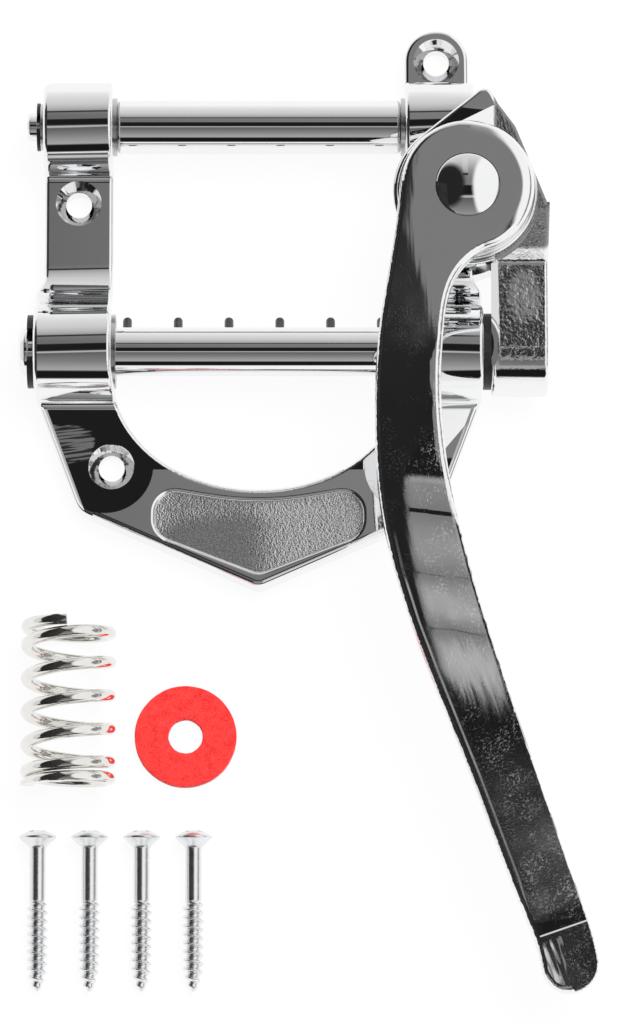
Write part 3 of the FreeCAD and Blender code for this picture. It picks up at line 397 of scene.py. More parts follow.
bar_chrome, bar_haze, bar_tint, bar_marks = polished_chrome("bar chrome", 0.03, 0.35)
bar_finish = bar_chrome.surface({
    "Base Color": bar_tint, "Metallic": 1.0, "Roughness": bar_haze, "Normal": bar_marks})
tension_axis = np.array((0, 68.3, 10.5)) * MM
tension_steps = np.array((
    (-46.4, 0), (-46.4, 2.4), (-45.9, 2.85), (-44.4, 2.85), (-44.4, 2.25), (-43.8, 2.25), (-43.8, 2.85),
    (-28.3, 2.85), (-28.3, 4.9), (-27.8, 5.4), (27.8, 5.4), (28.3, 4.9), (28.3, 2.85), (39.3, 2.85),
    (39.7, 2.45), (39.7, 0))) * MM
profile = rounded_steps(tension_steps, 0.12 * MM, 4)
tension_mesh = turned("tension_rod", *profile.T, tension_axis, (1, 0, 0), 128)
as_piece("tension_rod", tension_mesh, bar_finish, "tension_roller", ["tension_bar"], 25)


# Washer and clip of the tension bar: a bright steel washer and a blackened spring clip on the left stub.
# The clip snaps into a groove of the bar and keeps it from sliding out.

def black_oxide(name):
    """Blackened spring steel with worn, slightly paler patches."""
    finish = Finish(name)
    wear = finish.noise(1.2 * MM, 4.0, 0.6)
    return finish.surface({
        "Base Color": finish.mixed(wear, (0.012, 0.012, 0.012, 1), (0.05, 0.048, 0.045, 1)),
        "Metallic": 0.6,
        "Roughness": 0.28 + 0.25 * wear,
        "Normal": finish.bump(wear, 0.01 * MM, 0.4),
    })


clip_black = black_oxide("clip black")
pale_steel = turned_steel("pale steel", (0.74, 0.74, 0.73), 0.25)
smooth_copy("tension_bar_washer", "tension_rod_washer", pale_steel, "base", 30)
smooth_copy("tension_bar_clip", "tension_rod_clip", clip_black, "tension_roller", 30)


# String bar: a thicker steel bar, polished and chromed, round which the strings are wound.
# It rocks in the rear bushes and carries the bracket of the arm on its right end.

string_axis = np.array((0, 22.1, 12.0)) * MM
string_steps = np.array((
    (-47.7, 0), (-47.7, 3.3), (-47.3, 4.3), (-46.5, 4.9), (-45.9, 4.9), (-45.9, 4.3), (-44.7, 4.3),
    (-44.7, 4.9), (55.9, 4.9), (56.2, 4.6), (56.2, 0))) * MM
profile = rounded_steps(string_steps, 0.15 * MM, 4)
string_mesh = turned("string_rod", *profile.T, string_axis, (1, 0, 0), 128)
as_piece("string_rod", string_mesh, bar_finish, "rocker", ["string_bar"], 25)


# String pins: six short steel pins, driven into holes along the string bar, their colour painted dark as
# painted shade.
# The ball end of a string hooks on each.

def painted_shade_steel(name):
    """Steel whose colour is painted dark as painted shade, with small paler clouds."""
    finish = Finish(name)
    clouds = finish.noise(0.6 * MM)
    # The dark base colour is painted shade, for the shadow the pins lie in under the bar
    return finish.surface({
        "Base Color": finish.mixed(clouds, (0.06, 0.06, 0.06, 1), (0.19, 0.19, 0.19, 1)),
        "Metallic": 1.0,
        "Roughness": 0.22 + 0.2 * clouds,
        "Normal": finish.bump(clouds, 0.005 * MM, 0.5),
    })


pin_steel_painted_shade = painted_shade_steel("pin steel painted shade")
pin_droop = math.radians(30)
pin_way = np.array((0, math.cos(pin_droop), -math.sin(pin_droop)))
pin_steps = np.array(((2.3, 0), (2.3, 0.9), (8.2, 0.9), (8.55, 0.75), (8.7, 0.45), (8.7, 0))) * MM
pin_profile = rounded_steps(pin_steps, 0.2 * MM, 4)
pins_middle = -0.9
string_gap = 10.14
for i in range(6):
    foot = string_axis + np.array((pins_middle + string_gap * (i - 2.5), 0, 0)) * MM
    pin_name = "ball_end_pin_%d" % (i + 1)
    pin_mesh = turned(pin_name, *pin_profile.T, foot, pin_way, 32)
    as_piece(pin_name, pin_mesh, pin_steel_painted_shade, "rocker", ["string_pin_%d" % (i + 1)], 35)


# Clip and washer of the string bar: both of blackened spring steel, one on each side of the frame.
# The clip snaps on the left end, the washer runs between boss and bracket, and they stop end play.

smooth_copy("string_bar_clip", "string_rod_clip", clip_black, "rocker", 30)
smooth_copy("string_bar_washer", "string_rod_washer", clip_black, "rocker", 30)


# Arm bracket: a casting clamped on the right end of the string bar, with a platform and a tongue on its leg.
# Platform, tongue and inner edge are polished; the top and slope of the leg keep the rough skin of the mould
# under the chrome. The slope and the shoulder are also painted dark grey in colour: painted shade for a
# darker reflection.

pivot_x = 41.1 * MM
pivot_y = 50.4 * MM
platform_top = 31.0 * MM
bracket, bracket_haze, bracket_tint, bracket_marks = polished_chrome("bracket chrome", 0.04, 0.3)
x, y, z = bracket.axes()
leg_inner = bracket.band(x, 47.3 * MM, 47.9 * MM)
leg_level = bracket.band(z, 17.0 * MM, 18.0 * MM) * (z < 30.6 * MM)
leg_back = bracket.band(y, 15.0 * MM, 21.0 * MM)
rough_leg = leg_inner * leg_level * leg_back
leg_slope = rough_leg * bracket.band(z, 22.4 * MM, 23.6 * MM)
shoulder = bracket.band(x, 46.2 * MM, 46.8 * MM) * (z > 30.0 * MM) * (z < 31.2 * MM)
rough = rough_leg.at_least(shoulder)
# Slope and shoulder: real rough skin in bump and roughness, and painted shade where it darkens the base
# colour
slope_skin_and_painted_shade = leg_slope.at_least(shoulder)
lump = bracket.band(bracket.noise(0.9 * MM, 1.0, 0.4), 0.46, 0.80)
swell = bracket.noise(4 * MM, 2.0, 0.5)
pebble = bracket.noise(0.8 * MM, 2.0, 0.5)
fine = bracket.noise(0.5 * MM, 2.0, 0.6)
# The leg's top round its middle and the root of the tongue fall away a little towards the hub
tongue = (z > platform_top - slack) * (z < platform_top + slack) * (y > 58 * MM) * (x < 47 * MM)
tongue_end = bracket.band(y + 0.1 * x, 70.9 * MM, 71.9 * MM)
tongue_end = tongue_end * bracket.band(x + 0.4 * y, 66.2 * MM, 67.8 * MM)
leg_middle_x = 52.6 * MM
leg_middle_y = 31.5 * MM
beside = x - leg_middle_x
along = y - leg_middle_y
off_middle = bracket.band(beside * beside * 55000 + along * along * 22000, 0.25, 0.95)
falling = rough_leg * (z < 24 * MM) * off_middle + tongue * (1 - tongue_end)
# A turned ring stands round the washer. The tongue's right foot is ground to a slant, and the hub's top flat
out_x = x - pivot_x
out_y = y - pivot_y
from_pivot = (out_x * out_x + out_y * out_y).root()
ring_pitch = 1.2 * MM
ring_reach = 14.0 * MM
ring_phase = from_pivot * (2 * math.pi / ring_pitch)
ring_wave = bracket.node("ShaderNodeMath", {"operation": "SINE"}, {0: ring_phase})
ringed = bracket.band(from_pivot, ring_reach + 0.2 * MM, ring_reach)
slanted = tongue * bracket.band(0.5 * x - y, -44.8 * MM, -44.5 * MM) * (1 - ringed)
hub_flat = leg_inner * (z > 17 * MM) * bracket.between(y, (17.6 * MM, 17.9 * MM), (20 * MM, 21.5 * MM))
skin = bracket.bump(y * 0.10, 1.0, falling, bracket_marks)
skin = bracket.bump(x * -0.22, 1.0, slanted, skin)
skin = bracket.bump(y * -0.21, 1.0, hub_flat, skin)
skin = bracket.bump(from_pivot * -0.5 + ring_wave * 0.1 * MM, 1.0, tongue * ringed, skin)
skin = bracket.bump(pebble * 0.75 + swell * 0.8, 0.10 * MM, rough_leg, skin)
skin = bracket.bump(fine + lump * 0.5, 0.16 * MM, slope_skin_and_painted_shade, skin)
# The base colour turns dark grey over the slope and shoulder: painted shade standing in for a darker
# reflection
bracket_finish = bracket.surface({
    "Base Color": bracket.mixed(slope_skin_and_painted_shade * 0.9, bracket_tint, (0.2, 0.2, 0.205, 1)),
    "Metallic": 1.0,
    "Roughness": bracket_haze * (1 - rough) + rough * 0.15 + slope_skin_and_painted_shade * 0.12,
    "Normal": skin,
})
smooth_copy("arm_bracket", "bracket_casting", bracket_finish, "rocker", 30)


# Set screw: a socket screw of blackened steel, turned up into the hub from below.
# Its point locks the bracket on the string bar.

smooth_copy("bracket_set_screw", "hub_grub_screw", clip_black, "rocker", 30)


# Pivot stack: a steel washer, the turned and chromed stud that the arm swings on, and its steel nut.
# The stud's low dome fills the eye of the arm, and the nut holds it under the bracket's platform.

smooth_copy("swivel_washer", "friction_washer", pale_steel, "rocker", 30)
smooth_copy("pivot_nut", "stud_nut", pale_steel, "rocker", 25)
arm_top = 37.36
head_radius = 6.3
dome_foot = 6.15
dome_rise = 1.6
dome_radius = (head_radius ** 2 + dome_rise ** 2) / (2 * dome_rise)
dome_reach = np.linspace(dome_foot, 0, 24)
dome_height = arm_top + dome_rise - dome_radius + np.sqrt(dome_radius ** 2 - dome_reach ** 2)
stud_along = np.concatenate(([23.0, 23.0, 23.4, 34.82, 34.82, 37.25], dome_height)) * MM
stud_radius = np.concatenate(([0.0, 2.7, 3.0, 3.0, head_radius, head_radius], dome_reach)) * MM
stud_mesh = turned("domed_stud", stud_along, stud_radius, (pivot_x, pivot_y, 0), (0, 0, 1), 96)
as_piece("domed_stud", stud_mesh, bar_finish, "rocker", ["pivot_stud"], 40)


# Arm: a long flat bar forged to an S, with an eye for the stud and its tip bent up for the hand.
# It is ground by hand and chromed, and the grinding shows as eased margins and shallow hollows.

arm_chrome, arm_haze, arm_tint, arm_marks = polished_chrome("arm chrome", 0.05, 0.5)
x, y = arm_chrome.axes()[:2]
arm_points = np.empty(len(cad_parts["arm"].data.vertices) * 3)
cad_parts["arm"].data.vertices.foreach_get("co", arm_points)
arm_x, arm_y = arm_points.reshape(-1, 3)[:, :2].T
stations = 16
station_gap = 10 * MM
first_station = -95 * MM
station = np.clip(np.round((arm_y - first_station) / station_gap).astype(int), 0, stations - 1)
past_station = arm_y - first_station - station_gap * station


def arm_edge(pick, start):
    """Where an edge of the arm lies at each station along it: the outermost point near that station, after
    every point has slid along the edge's own slope to its station."""
    edge = np.full(stations, start)
    pick.at(edge, station, arm_x)
    slope = np.gradient(edge, station_gap)[station]
    edge = np.full(stations, start)
    pick.at(edge, station, arm_x - slope * past_station)
    return edge


def edge_line(finish, along, edge):
    """Looks up the place of an edge of the arm, in metres, from a table along the arm."""
    widest = 100 * MM
    stops = [(i / (stations - 1), [edge[i] / widest] * 3 + [1]) for i in range(stations)]
    return finish.node("ShaderNodeValToRGB", {"stops": stops}, {0: along}) * widest


along_arm = (y - first_station) * (1 / (station_gap * (stations - 1)))
from_left = x - edge_line(arm_chrome, along_arm, arm_edge(np.minimum, 1.0))
from_right = edge_line(arm_chrome, along_arm, arm_edge(np.maximum, -1.0)) - x
# Hand grinding eases off the left margin: narrow at the head, wide down the neck, narrow again below, with a
# streaky border
brushed = drawn_noise(arm_chrome, 7 * MM, 0.6 * MM, 1.62, 2.0) - 0.5
on_neck = arm_chrome.band(y, -7 * MM, 4 * MM)
neck_margin = 9.4 * MM * (1 - arm_chrome.band(y, 16 * MM, 46 * MM)) + 3.5 * MM * brushed
low_margin = 0.9 * MM + 2.5 * MM * arm_chrome.band(y, -48 * MM, -6 * MM)
margin = 2.2 * MM + neck_margin * on_neck + low_margin * (1 - on_neck)
eased = 1 - arm_chrome.band(from_left - margin, -1.0 * MM, 1.4 * MM)
eased = eased * (1 - arm_chrome.band(y, 56 * MM, 66 * MM))
# Below the bend the middle is ground in four shallow hollows, one after the other, each given by its start,
# its end and its fall in mm. A ridge parts the first two, and the last fades out in streaks
ripple = arm_chrome.noise(14 * MM, 2.0, 0.5) - 0.5
drawn = drawn_noise(arm_chrome, 12 * MM, 0.8 * MM, -1.24, 2.0) - 0.5
down = y + 2.5 * MM * ripple + 0.12 * (x - 45 * MM)
hollows = y * -0.105 - x * 0.014
for start, end, fall in (
        (-5.5, -15.6, 1.05),
        (-16.2, -27.6, 1.85),
        (-27.6, -37.6, 2.05),
        (-37.6, -54.0, 2.9)):
    hollows = hollows - fall * MM * arm_chrome.band(down, end * MM, start * MM)
in_hollow = arm_chrome.band(from_left - low_margin + 1.5 * MM * drawn, 0.8 * MM, 3.0 * MM)
in_hollow = in_hollow * arm_chrome.band(from_right, 0.5 * MM, 1.4 * MM)
fade = arm_chrome.band(down + 8 * MM * drawn, -55 * MM, -36 * MM)
in_hollow = in_hollow * fade * (1 - arm_chrome.band(down, -11.0 * MM, -8.0 * MM))
soft_edge = in_hollow * (1 - in_hollow)
ridge = arm_chrome.between(down, (-16.5 * MM, -16.0 * MM), (-15.9 * MM, -15.4 * MM))
in_hollow = in_hollow * (1 - 0.6 * ridge) * (1 + 0.25 * ripple)
# A thin line runs down the left side, and the inner edge of the bend is left level
left_line = arm_chrome.between(from_left, (1.4 * MM, 1.6 * MM), (1.9 * MM, 2.2 * MM))
left_line = left_line * (1 - arm_chrome.band(y, -30 * MM, -12 * MM))
level_strip = 1 - arm_chrome.band(from_right + 1.2 * MM * brushed, 1.8 * MM, 2.8 * MM)
level_strip = level_strip * arm_chrome.between(y, (-9 * MM, -4 * MM), (14 * MM, 26 * MM))
# The head's right side and the inner edge of the neck are rounded over
head_flat = 10.3 * MM
neck_edge = 1.2 * MM
round_over = -75
out_x = x - pivot_x
out_y = y - pivot_y
over_head = ((out_x * out_x + out_y * out_y).root() - head_flat).at_least(0.0)
over_neck = (neck_edge - from_right).at_least(0.0)
on_head = arm_chrome.band(out_y + 0.3 * out_x, -10 * MM, 1 * MM) * arm_chrome.band(out_x, -2 * MM, 2 * MM)
by_neck = arm_chrome.between(y, (0.0, 8 * MM), (30 * MM, 38 * MM))
# The tip is ground dark past its bend. A thin bright crease crosses it at a slant, and past the crease it is
# rubbed in lengthwise streaks left of its middle
bend = y - 0.138 * x + 101.15 * MM
past_bend = 1 - arm_chrome.band(bend, -0.06 * MM, 0.04 * MM)
crease = y - 0.347 * x + 115.0 * MM
past_crease = 1 - arm_chrome.band(crease, -0.3 * MM, 0.0)
crease_line = arm_chrome.between(crease, (-0.28 * MM, -0.12 * MM), (0.04 * MM, 0.2 * MM))
crease_line = crease_line * arm_chrome.band(from_left, 2.2 * MM, 3.2 * MM)
rubbed = arm_chrome.band(drawn, -0.08, 0.12) * (1 - arm_chrome.band(crease, -2.5 * MM, -1.0 * MM))
rubbed = rubbed * arm_chrome.band(from_left, 1.5 * MM, 3.0 * MM)
rubbed = rubbed * arm_chrome.band(from_right, 4.5 * MM, 7.0 * MM)
# Towards the tip the shine is duller, but for a clear strip above the crease. Specks of wear lie all over
dusky = 1 - arm_chrome.band(y, -74 * MM, -52 * MM)
dusky = dusky * (arm_chrome.band(crease, 2.5 * MM, 4.5 * MM) + past_crease)
fading = fade * (1 - fade)
speckle = arm_chrome.band(arm_chrome.noise(0.45 * MM, 3.0, 0.6), 0.50, 0.78)
worn = 2.2 * arm_chrome.band(arm_chrome.noise(6 * MM, 3.0, 0.6), 0.3, 0.8) + 0.4 + 2.5 * fading
worn = worn * (1 - 0.85 * arm_chrome.band(y, 14 * MM, 40 * MM))
facing = arm_chrome.node("ShaderNodeSeparateXYZ", {}, {
    0: arm_chrome.node("ShaderNodeTexCoord", {}, {}, "Normal")}, "Z")
on_top = arm_chrome.band(facing, 0.3, 0.7)
ground = arm_chrome.bump(ripple, 0.12 * MM, 1.0, arm_marks)
ground = arm_chrome.bump(speckle, 0.0045 * MM, worn, ground)
for height, where in (
        (over_head * over_head * round_over, on_head),
        (over_neck * over_neck * round_over, by_neck),
        (x * 0.075, eased * (1 - level_strip)),
        (y * -0.13 - x * 0.03, level_strip),
        (hollows, in_hollow),
        (y * -0.33, left_line * (1 - past_bend)),
        (y * 0.125, past_bend * (1 - rubbed)),
        (y * -0.3, rubbed),
        (y * -0.6, crease_line)):
    ground = arm_chrome.bump(height, 1.0, where * on_top, ground)
arm_finish = arm_chrome.surface({
    "Base Color": arm_tint,
    "Metallic": 1.0,
    "Roughness": arm_haze + dusky * (0.08 + 0.14 * ripple) + 0.4 * fading + 0.8 * soft_edge,
    "Normal": ground,
})


def crisper_edge(points, radius, tight, begin, full):
    """Lifts the right upper edge: a quarter-round of one radius, whose drop at a distance d from the side is
    radius - sqrt(radius^2 - (radius - d)^2), becomes one of a smaller radius, more and more from begin to
    full."""
    arm_turn = math.radians(7.86)
    top_along = np.array((41.4, 144.5, 160.6)) * MM
    top_height = np.array((36.418, 24.86, 26.46)) * MM
    middle_along = np.array((47.6, 71.4, 93.6, 117.4, 139.6, 153.0)) * MM
    middle_across = np.array((-18.1, -17.5, -13.9, -8.6, -3.8, -1.6)) * MM
    outward = points[:, :2] - (pivot_x, pivot_y)
    along = outward @ (math.sin(arm_turn), -math.cos(arm_turn))
    across = outward @ (math.cos(arm_turn), math.sin(arm_turn))
    top = np.interp(along, top_along, top_height)
    drop = np.clip(top - points[:, 2], 0, radius)
    inside = radius - np.sqrt(radius ** 2 - (radius - drop) ** 2)
    short = np.clip(tight - inside, 0, tight)
    new_drop = tight - np.sqrt(tight ** 2 - short ** 2)
    on_edge = (top - points[:, 2] < radius * 1.02) & (across > np.interp(along, middle_along, middle_across))
    share = np.clip((along - begin) / (full - begin), 0, 1) * on_edge
    points[:, 2] += share * (drop - new_drop)


lever_mesh = merged_copy("arm", "lever")
lever_points = np.empty(len(lever_mesh.vertices) * 3)
lever_mesh.vertices.foreach_get("co", lever_points)
crisper_edge(lever_points.reshape(-1, 3), 1.2 * MM, 0.22 * MM, 52 * MM, 66 * MM)
lever_mesh.vertices.foreach_set("co", lever_points)
lever_mesh.update()
as_piece("lever", lever_mesh, arm_finish, "arm", ["arm"], 30)


# Spring: nickel-plated wire coiled right-handed, its end coils closed and ground flat. It belongs in the cup
# under the bracket, and lies loose as it comes out of the bag.

def coil_line(advance, mean, centre, start_y, height):
    """Points of a helix about an axis along -Y whose advance per quarter turn follows a table, eased by the
    mean over a short run of points."""
    steps = 24
    ease = 6
    quarters = len(advance)
    turns = np.linspace(0, quarters, quarters * steps + 1)
    reached = np.interp(turns, np.arange(quarters + 1), np.concatenate(([0.0], np.cumsum(advance))))
    padded = np.pad(reached, ease, mode="reflect", reflect_type="odd")
    run = np.ones(2 * ease + 1) / (2 * ease + 1)
    reached = np.convolve(padded, run, mode="valid")
    angle = turns * np.pi / 2
    return np.stack([centre - mean * np.sin(angle), start_y - reached, height + mean * np.cos(angle)], -1)


def tube(name, line, radius, around, ground):
    """Round wire: a circle carried along a line, square to it, with eased ends, ground at two Y planes."""
    ease = 0.07 * radius
    way = np.gradient(line, axis=0)
    way /= np.linalg.norm(way, axis=1)[:, None]
    side = np.cross(way, [0.0, 1.0, 0.0])
    side /= np.linalg.norm(side, axis=1)[:, None]
    other = np.cross(way, side)
    angle = np.linspace(0, 2 * np.pi, around, endpoint=False)
    ring = np.cos(angle)[None, :, None] * side[:, None] + np.sin(angle)[None, :, None] * other[:, None]
    body = line[:, None] + radius * ring
    body[0] += way[0] * ease
    body[-1] -= way[-1] * ease
    face = np.array((0.0, radius - ease))[:, None, None]
    first = line[0] + face * ring[0]
    last = line[-1] + face[::-1] * ring[-1]
    wire = np.concatenate([first, body, last])
    wire[..., 1] = np.clip(wire[..., 1], *ground)
    return grid_mesh(name, wire, True, False)


def nickel(name):
    """Bright nickel plate on drawn wire: faint clouds and a warm tone."""
    finish = Finish(name)
    clouds = finish.noise(2.5 * MM, 4.0, 0.6)
    return finish.surface({
        "Base Color": finish.mixed(clouds, (0.74, 0.725, 0.685, 1), (0.90, 0.89, 0.865, 1)),
        "Metallic": 1.0,
        "Roughness": 0.05 + 0.10 * clouds,
        "Normal": finish.bump(clouds, 0.02 * MM, 0.4),
    })


wire_radius = 1.25 * MM
coil_radius = 8.2 * MM
spring_x = -37.5 * MM
spring_start = -32.4 * MM
spring_advance = np.array([0.5, 0.6, 0.65, 0.85] + [1.66] * 15 + [1.3] + [0.65] * 5) * MM
spring_line = coil_line(spring_advance, coil_radius, spring_x, spring_start, coil_radius + wire_radius)
ground_ends = (spring_start - spring_advance.sum() - 0.2 * MM, spring_start + 0.7 * MM)
spring_mesh = tube("return_spring", spring_line, wire_radius, 28, ground_ends)
as_piece("return_spring", spring_mesh, nickel("spring nickel"), "base", ["spring"], 45)


# Felt washer: a disc stamped from red wool felt, soft and slightly uneven.
# It goes under the end of the spring to keep it quiet, and lies loose beside it.

def felt_ring(name, outer, inner, thick, centre):
    """Ring with a soft section, whose sides are a cosine and a sine raised to a low power; its faces and
    rims swell and sink with low waves."""
    section = np.linspace(0, 2 * np.pi, 64, endpoint=False)
    power = 0.22
    across = np.sign(np.cos(section)) * np.abs(np.cos(section)) ** power
    upward = np.sign(np.sin(section)) * np.abs(np.sin(section)) ** power
    turn = np.linspace(0, 2 * np.pi, 256, endpoint=False)
    a, s = np.meshgrid(turn, np.arange(64), indexing="ij")
    wave = 0.012 * np.sin(7 * a + 1.0) + 0.006 * np.sin(17 * a + 0.5 * across[s]) + 0.002 * np.sin(41 * a)
    radius = (outer + inner) / 2 + (outer - inner) / 2 * across[s] * (0.98 + wave * 0.5)
    height = thick / 2 + thick / 2 * upward[s] * (0.97 + wave)
    height = np.clip(height, 0, thick)
    points = np.stack([centre[0] + radius * np.cos(a), centre[1] + radius * np.sin(a), height], -1)
    return grid_mesh(name, points, True, True)


felt = Finish("red felt")
fibres = felt.noise(0.35 * MM, 6.0, 0.7)
tufts = felt.noise(1.8 * MM, 4.0, 0.6)
raised = felt.band(fibres * 0.7 + tufts * 0.3, 0.3, 0.6)
felt_finish = felt.surface({
    "Base Color": felt.mixed(raised, (0.50, 0.004, 0.004, 1), (0.92, 0.052, 0.048, 1)),
    "Roughness": 0.95,
    "Sheen Weight": 0.35,
    "Sheen Roughness": 0.5,
    "Specular IOR Level": 0.15,
    "Normal": felt.bump(fibres + tufts * 0.5, 0.12 * MM, 0.8),
})
felt_centre = np.array((-14.5, -53.7)) * MM
felt_mesh = felt_ring("felt_disc", 10.2 * MM, 3.3 * MM, 2.2 * MM, felt_centre)
as_piece("felt_disc", felt_mesh, felt_finish, "base", ["felt_washer"], 60)


# Wood screws: zinc-plated steel, with countersunk cross-slot heads, plain shanks and rolled threads.
# Four of them fix the frame to the guitar's top, and they lie loose side by side.

def wood_screw(name, x, y, tilt, lift):
    """Surface of revolution whose radius swells in a helical ridge, with a cross pressed in the head. The
    ridge is half of 1 plus the cosine of the distance from its crest, and the cross is cut where a point is
    near either of two lines at right angles. It is worked out in mm along the screw, then tilted and put in
    place."""
    around = 64
    pitch = 1.68
    ridge_half = 0.42
    slot_half = 0.55
    slot_reach = 2.0
    slot_depth = 1.5
    crown = np.linspace(0.25, 3.45, 20)
    crown = np.column_stack([1.15 * (crown / 3.45) ** 2, crown])
    neck = np.array(((1.22, 3.58), (1.35, 3.68), (1.55, 3.66), (1.75, 3.5), (2.9, 2.2), (3.3, 1.8),
                     (3.8, 1.6), (13.6, 1.6), (13.9, 1.55)))
    head = np.concatenate((crown, neck))
    thread_along = np.linspace(14.0, 31.6, 260)
    core = np.interp(thread_along, (14.0, 27.5, 30.8, 31.6), (1.5, 1.42, 0.85, 0.45))
    crest = np.interp(thread_along, (14.0, 15.0, 28.5, 31.6), (0.1, 0.62, 0.62, 0.12))
    along = np.concatenate((head[:, 0], thread_along, [32.0]))
    radius = np.concatenate((head[:, 1], core, [0.0]))
    ridge = np.concatenate((np.zeros(len(head)), crest, [0.0]))
    turn = np.linspace(0, 2 * np.pi, around, endpoint=False)
    a, t = np.meshgrid(along, turn, indexing="ij")
    phase = (a / pitch - t / (2 * np.pi)) % 1.0
    tooth = 0.5 + 0.5 * np.cos(np.clip(np.abs(phase - 0.5) / ridge_half, 0, 1) * np.pi)
    r = radius[:, None] + ridge[:, None] * tooth
    cross_x = np.abs(r * np.cos(t + np.pi / 4))
    cross_y = np.abs(r * np.sin(t + np.pi / 4))
    in_slot = np.clip((slot_half - np.minimum(cross_x, cross_y)) / 0.2, 0, 1)
    in_reach = np.clip((slot_reach - np.maximum(cross_x, cross_y)) / 0.5, 0, 1)
    sunk = np.where(a < 1.2, a + slot_depth * in_slot * in_reach, a)
    sunk[0] = slot_depth
    local = np.stack([r * np.sin(t), -sunk, r * np.cos(t)], -1) * MM
    cap = np.broadcast_to(np.array((0.0, -slot_depth * MM, 0.0)), (1, around, 3))
    local = np.concatenate((cap, local))
    turned_y = local[..., 1] * math.cos(tilt) - local[..., 2] * math.sin(tilt)
    turned_z = local[..., 1] * math.sin(tilt) + local[..., 2] * math.cos(tilt)
    points = np.stack([local[..., 0] + x, turned_y + y, turned_z + lift], -1)
    return grid_mesh(name, points, True, False)


def zinc(name):
    """Bright zinc plate, slightly cloudy."""
    finish = Finish(name)
    clouds = finish.noise(1.4 * MM, 4.0, 0.6)
    return finish.surface({
        "Base Color": finish.mixed(clouds, (0.76, 0.768, 0.785, 1), (0.93, 0.93, 0.935, 1)),
        "Metallic": 1.0,
        "Roughness": 0.18 + 0.14 * clouds,
        "Normal": finish.bump(clouds, 0.008 * MM, 0.4),
    })


screw_zinc = zinc("screw zinc")
first_screw = -43.6 * MM
screw_gap = 10.26 * MM
screw_heads = -72.6 * MM
# Each screw rests on the rim of its head and on its thread
rim_along = 0.9
rim_radius = 3.7
crest_along = 27.0
crest_radius = 2.05
screw_tilt = math.atan2(rim_radius - crest_radius, crest_along - rim_along)
screw_lift = (rim_along * math.sin(screw_tilt) + (rim_radius + 0.01) * math.cos(screw_tilt)) * MM
for i in range(4):
    screw_name = "fixing_screw_%d" % (i + 1)
    screw_mesh = wood_screw(screw_name, first_screw + screw_gap * i, screw_heads, screw_tilt, screw_lift)
    as_piece(screw_name, screw_mesh, screw_zinc, "base", ["wood_screw_%d" % (i + 1)], 50)


# Studio: a sheet of white paper, a black cloth on the left and a tent of white cloth with dark strips in it.
# The chrome mirrors the tent, whose strips and walls make the light and dark bands on the metal.
# One soft box gives the shadows.

floor_half = 3.0
floor_corners = [(-floor_half, -floor_half, 0), (floor_half, -floor_half, 0),
                 (floor_half, floor_half, 0), (-floor_half, floor_half, 0)]
floor_mesh = bpy.data.meshes.new("floor")
floor_mesh.from_pydata(floor_corners, [], [(0, 1, 2, 3)])
floor = bpy.data.objects.new("floor", floor_mesh)
bpy.context.scene.collection.objects.link(floor)
paper = Finish("white paper")
seen = paper.node("ShaderNodeLightPath", {}, {}, "Is Camera Ray")
mirrored = Wire(paper, seen.socket.node.outputs["Is Glossy Ray"])
glow = paper.node("ShaderNodeEmission", {}, {"Color": (1, 1, 1, 1), "Strength": 1.0})
matt = paper.node("ShaderNodeBsdfDiffuse", {}, {"Color": (0.9, 0.9, 0.9, 1)})
mix = paper.node("ShaderNodeMixShader", {}, {0: seen.at_least(mirrored) * 0.94, 1: matt, 2: glow})
paper.tree.links.new(mix.socket, paper.tree.nodes["Material Output"].inputs["Surface"])
floor_mesh.materials.append(paper.material)

flag_x = -0.075
flag_corners = [(flag_x, -0.16, 0.03), (flag_x, 0.09, 0.03), (flag_x, 0.09, 0.2), (flag_x, -0.16, 0.2)]
flag_mesh = bpy.data.meshes.new("flag")
flag_mesh.from_pydata(flag_corners, [], [(0, 1, 2, 3)])
flag = bpy.data.objects.new("flag", flag_mesh)
bpy.context.scene.collection.objects.link(flag)
cloth = Finish("black cloth")
flag_mesh.materials.append(cloth.surface({"Base Color": (0.01, 0.01, 0.01, 1), "Roughness": 0.9}))
flag.visible_camera = False
flag.visible_diffuse = False
flag.visible_shadow = False

world = bpy.data.worlds.new("tent")
bpy.context.scene.world = world
world.use_nodes = True
tent = Finish("tent", world.node_tree)
direction = tent.node("ShaderNodeTexCoord", {}, {}, "Generated")
parts = tent.node("ShaderNodeSeparateXYZ", {}, {0: direction})
east, north, up = [Wire(tent, out) for out in parts.socket.node.outputs]
# Angles from straight up in degrees: along the object, positive towards the camera's side, and across it
lean = tent.node("ShaderNodeMath", {"operation": "ARCTAN2"}, {0: 0 - north, 1: up}) * (180 / math.pi)
across = tent.node("ShaderNodeMath", {"operation": "ARCSINE"}, {0: east}) * (180 / math.pi)
near_greys = ((-8.5, 0.12), (-7.5, 0.012), (6, 0.012), (8.5, 0.05), (10, 0.5), (12, 0.5), (14, 0.12),
              (30, 0.22), (55, 0.42), (59, 0.01), (77, 0.01), (81, 1.0), (90, 1.0))
soft_greys = ((-90, 1.0), (-75, 0.88), (-55, 0.62), (-42, 0.42), (-34, 0.31), (-24, 0.24), (-14, 0.21),
              (-9.5, 0.22))
lined_greys = ((-90, 0.95), (-70, 0.78), (-50, 0.66), (-38, 0.50), (-31, 0.36), (-29.5, 0.03), (-27, 0.03),
               (-25.5, 0.22), (-14, 0.21), (-9.5, 0.22))


def strips_of(greys):
    """Grey of the tent by the angle along the object, read off a table of degrees and greys."""
    stops = [(0.5 + angle / 180, (grey, grey, grey, 1)) for angle, grey in greys]
    return tent.node("ShaderNodeValToRGB", {"stops": stops}, {0: lean * (1 / 180) + 0.5})


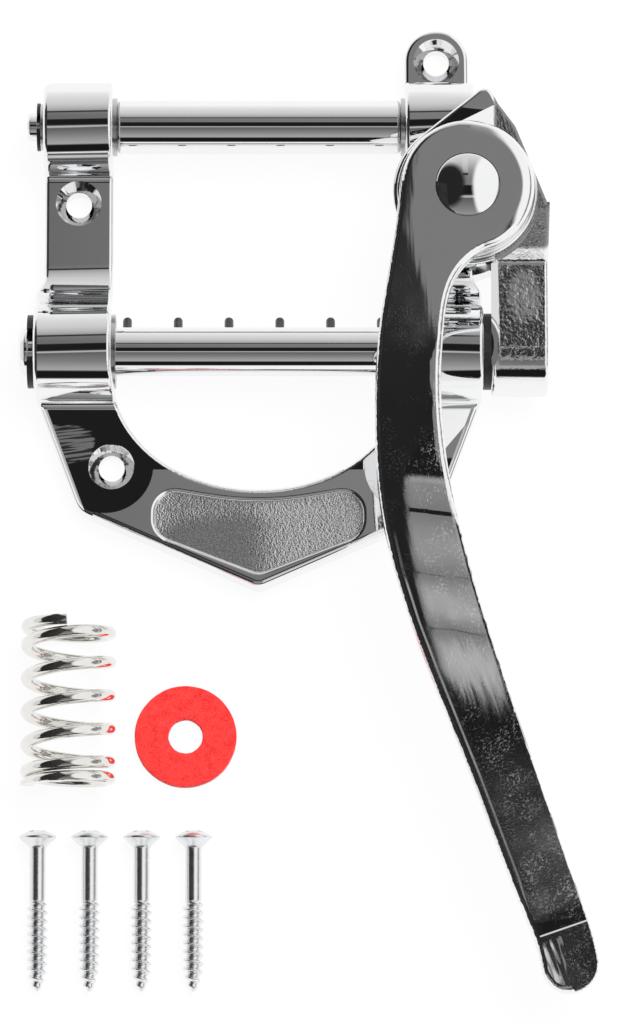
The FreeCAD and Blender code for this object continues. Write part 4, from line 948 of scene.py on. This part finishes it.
in_middle = tent.between(across, (-9, -5), (1.3, 2.0))
strips = tent.mixed(in_middle, strips_of(soft_greys + near_greys), strips_of(lined_greys + near_greys))
# Towards the right a white wall comes close; towards the left a dark one stands before a pale one
bowed = across - 0.0035 * (lean + 10) * (lean + 10)
far_wall = tent.band(across, 58, 64)
white_wall = tent.band(bowed, 6, 14) * (1 - far_wall)
dark_round = (across + 33) * (across + 33) * 0.0011 + (lean + 12) * (lean + 12) * 0.0005
dark_wall = 1 - tent.band(dark_round, 0.62, 1.25)
pale_wall = tent.band(across, -57, -66)
for wall, grey in ((dark_wall, 0.02), (pale_wall, 0.8), (white_wall, 1.0), (far_wall, 0.3)):
    strips = tent.mixed(wall, strips, (grey, grey, grey, 1))
view = tent.node("ShaderNodeLightPath", {}, {}, "Is Camera Ray")
background = world.node_tree.nodes["Background"]
tent.feed(background.inputs["Color"], tent.mixed(view, strips, (1, 1, 1, 1)))
background.inputs["Strength"].default_value = 1.0

lamp = bpy.data.lights.new("soft box", "AREA")
lamp.shape = "RECTANGLE"
lamp.size = 0.9
lamp.size_y = 0.9
lamp.energy = 18.0
soft_box = bpy.data.objects.new("soft box", lamp)
bpy.context.scene.collection.objects.link(soft_box)
soft_box.location = (0.25, 0.35, 1.1)
soft_box.rotation_euler = (-0.30, 0.22, 0)
soft_box.visible_glossy = False
soft_box.visible_camera = False


# Camera: it stands above, ten degrees from straight down on the spring's side, as the photograph was taken.
# A long lens from far off keeps the bars parallel.

view_tilt = math.radians(10)
view_reach = 1250 * MM
aim_x = 10.1 * MM
aim_y = -8.15 * MM
film_width = 36
picture_height = 1024
focal_pixels = 6250
camera_data = bpy.data.cameras.new("camera")
camera = bpy.data.objects.new("camera", camera_data)
bpy.context.scene.collection.objects.link(camera)
bpy.context.scene.camera = camera
camera.location = (aim_x, aim_y - view_reach * math.sin(view_tilt), view_reach * math.cos(view_tilt))
camera.rotation_euler = (view_tilt, 0, 0)
camera_data.sensor_width = film_width
camera_data.lens = film_width * focal_pixels / picture_height
camera_data.clip_start = 0.05
camera_data.clip_end = 20
bpy.context.scene.view_settings.view_transform = "Standard"
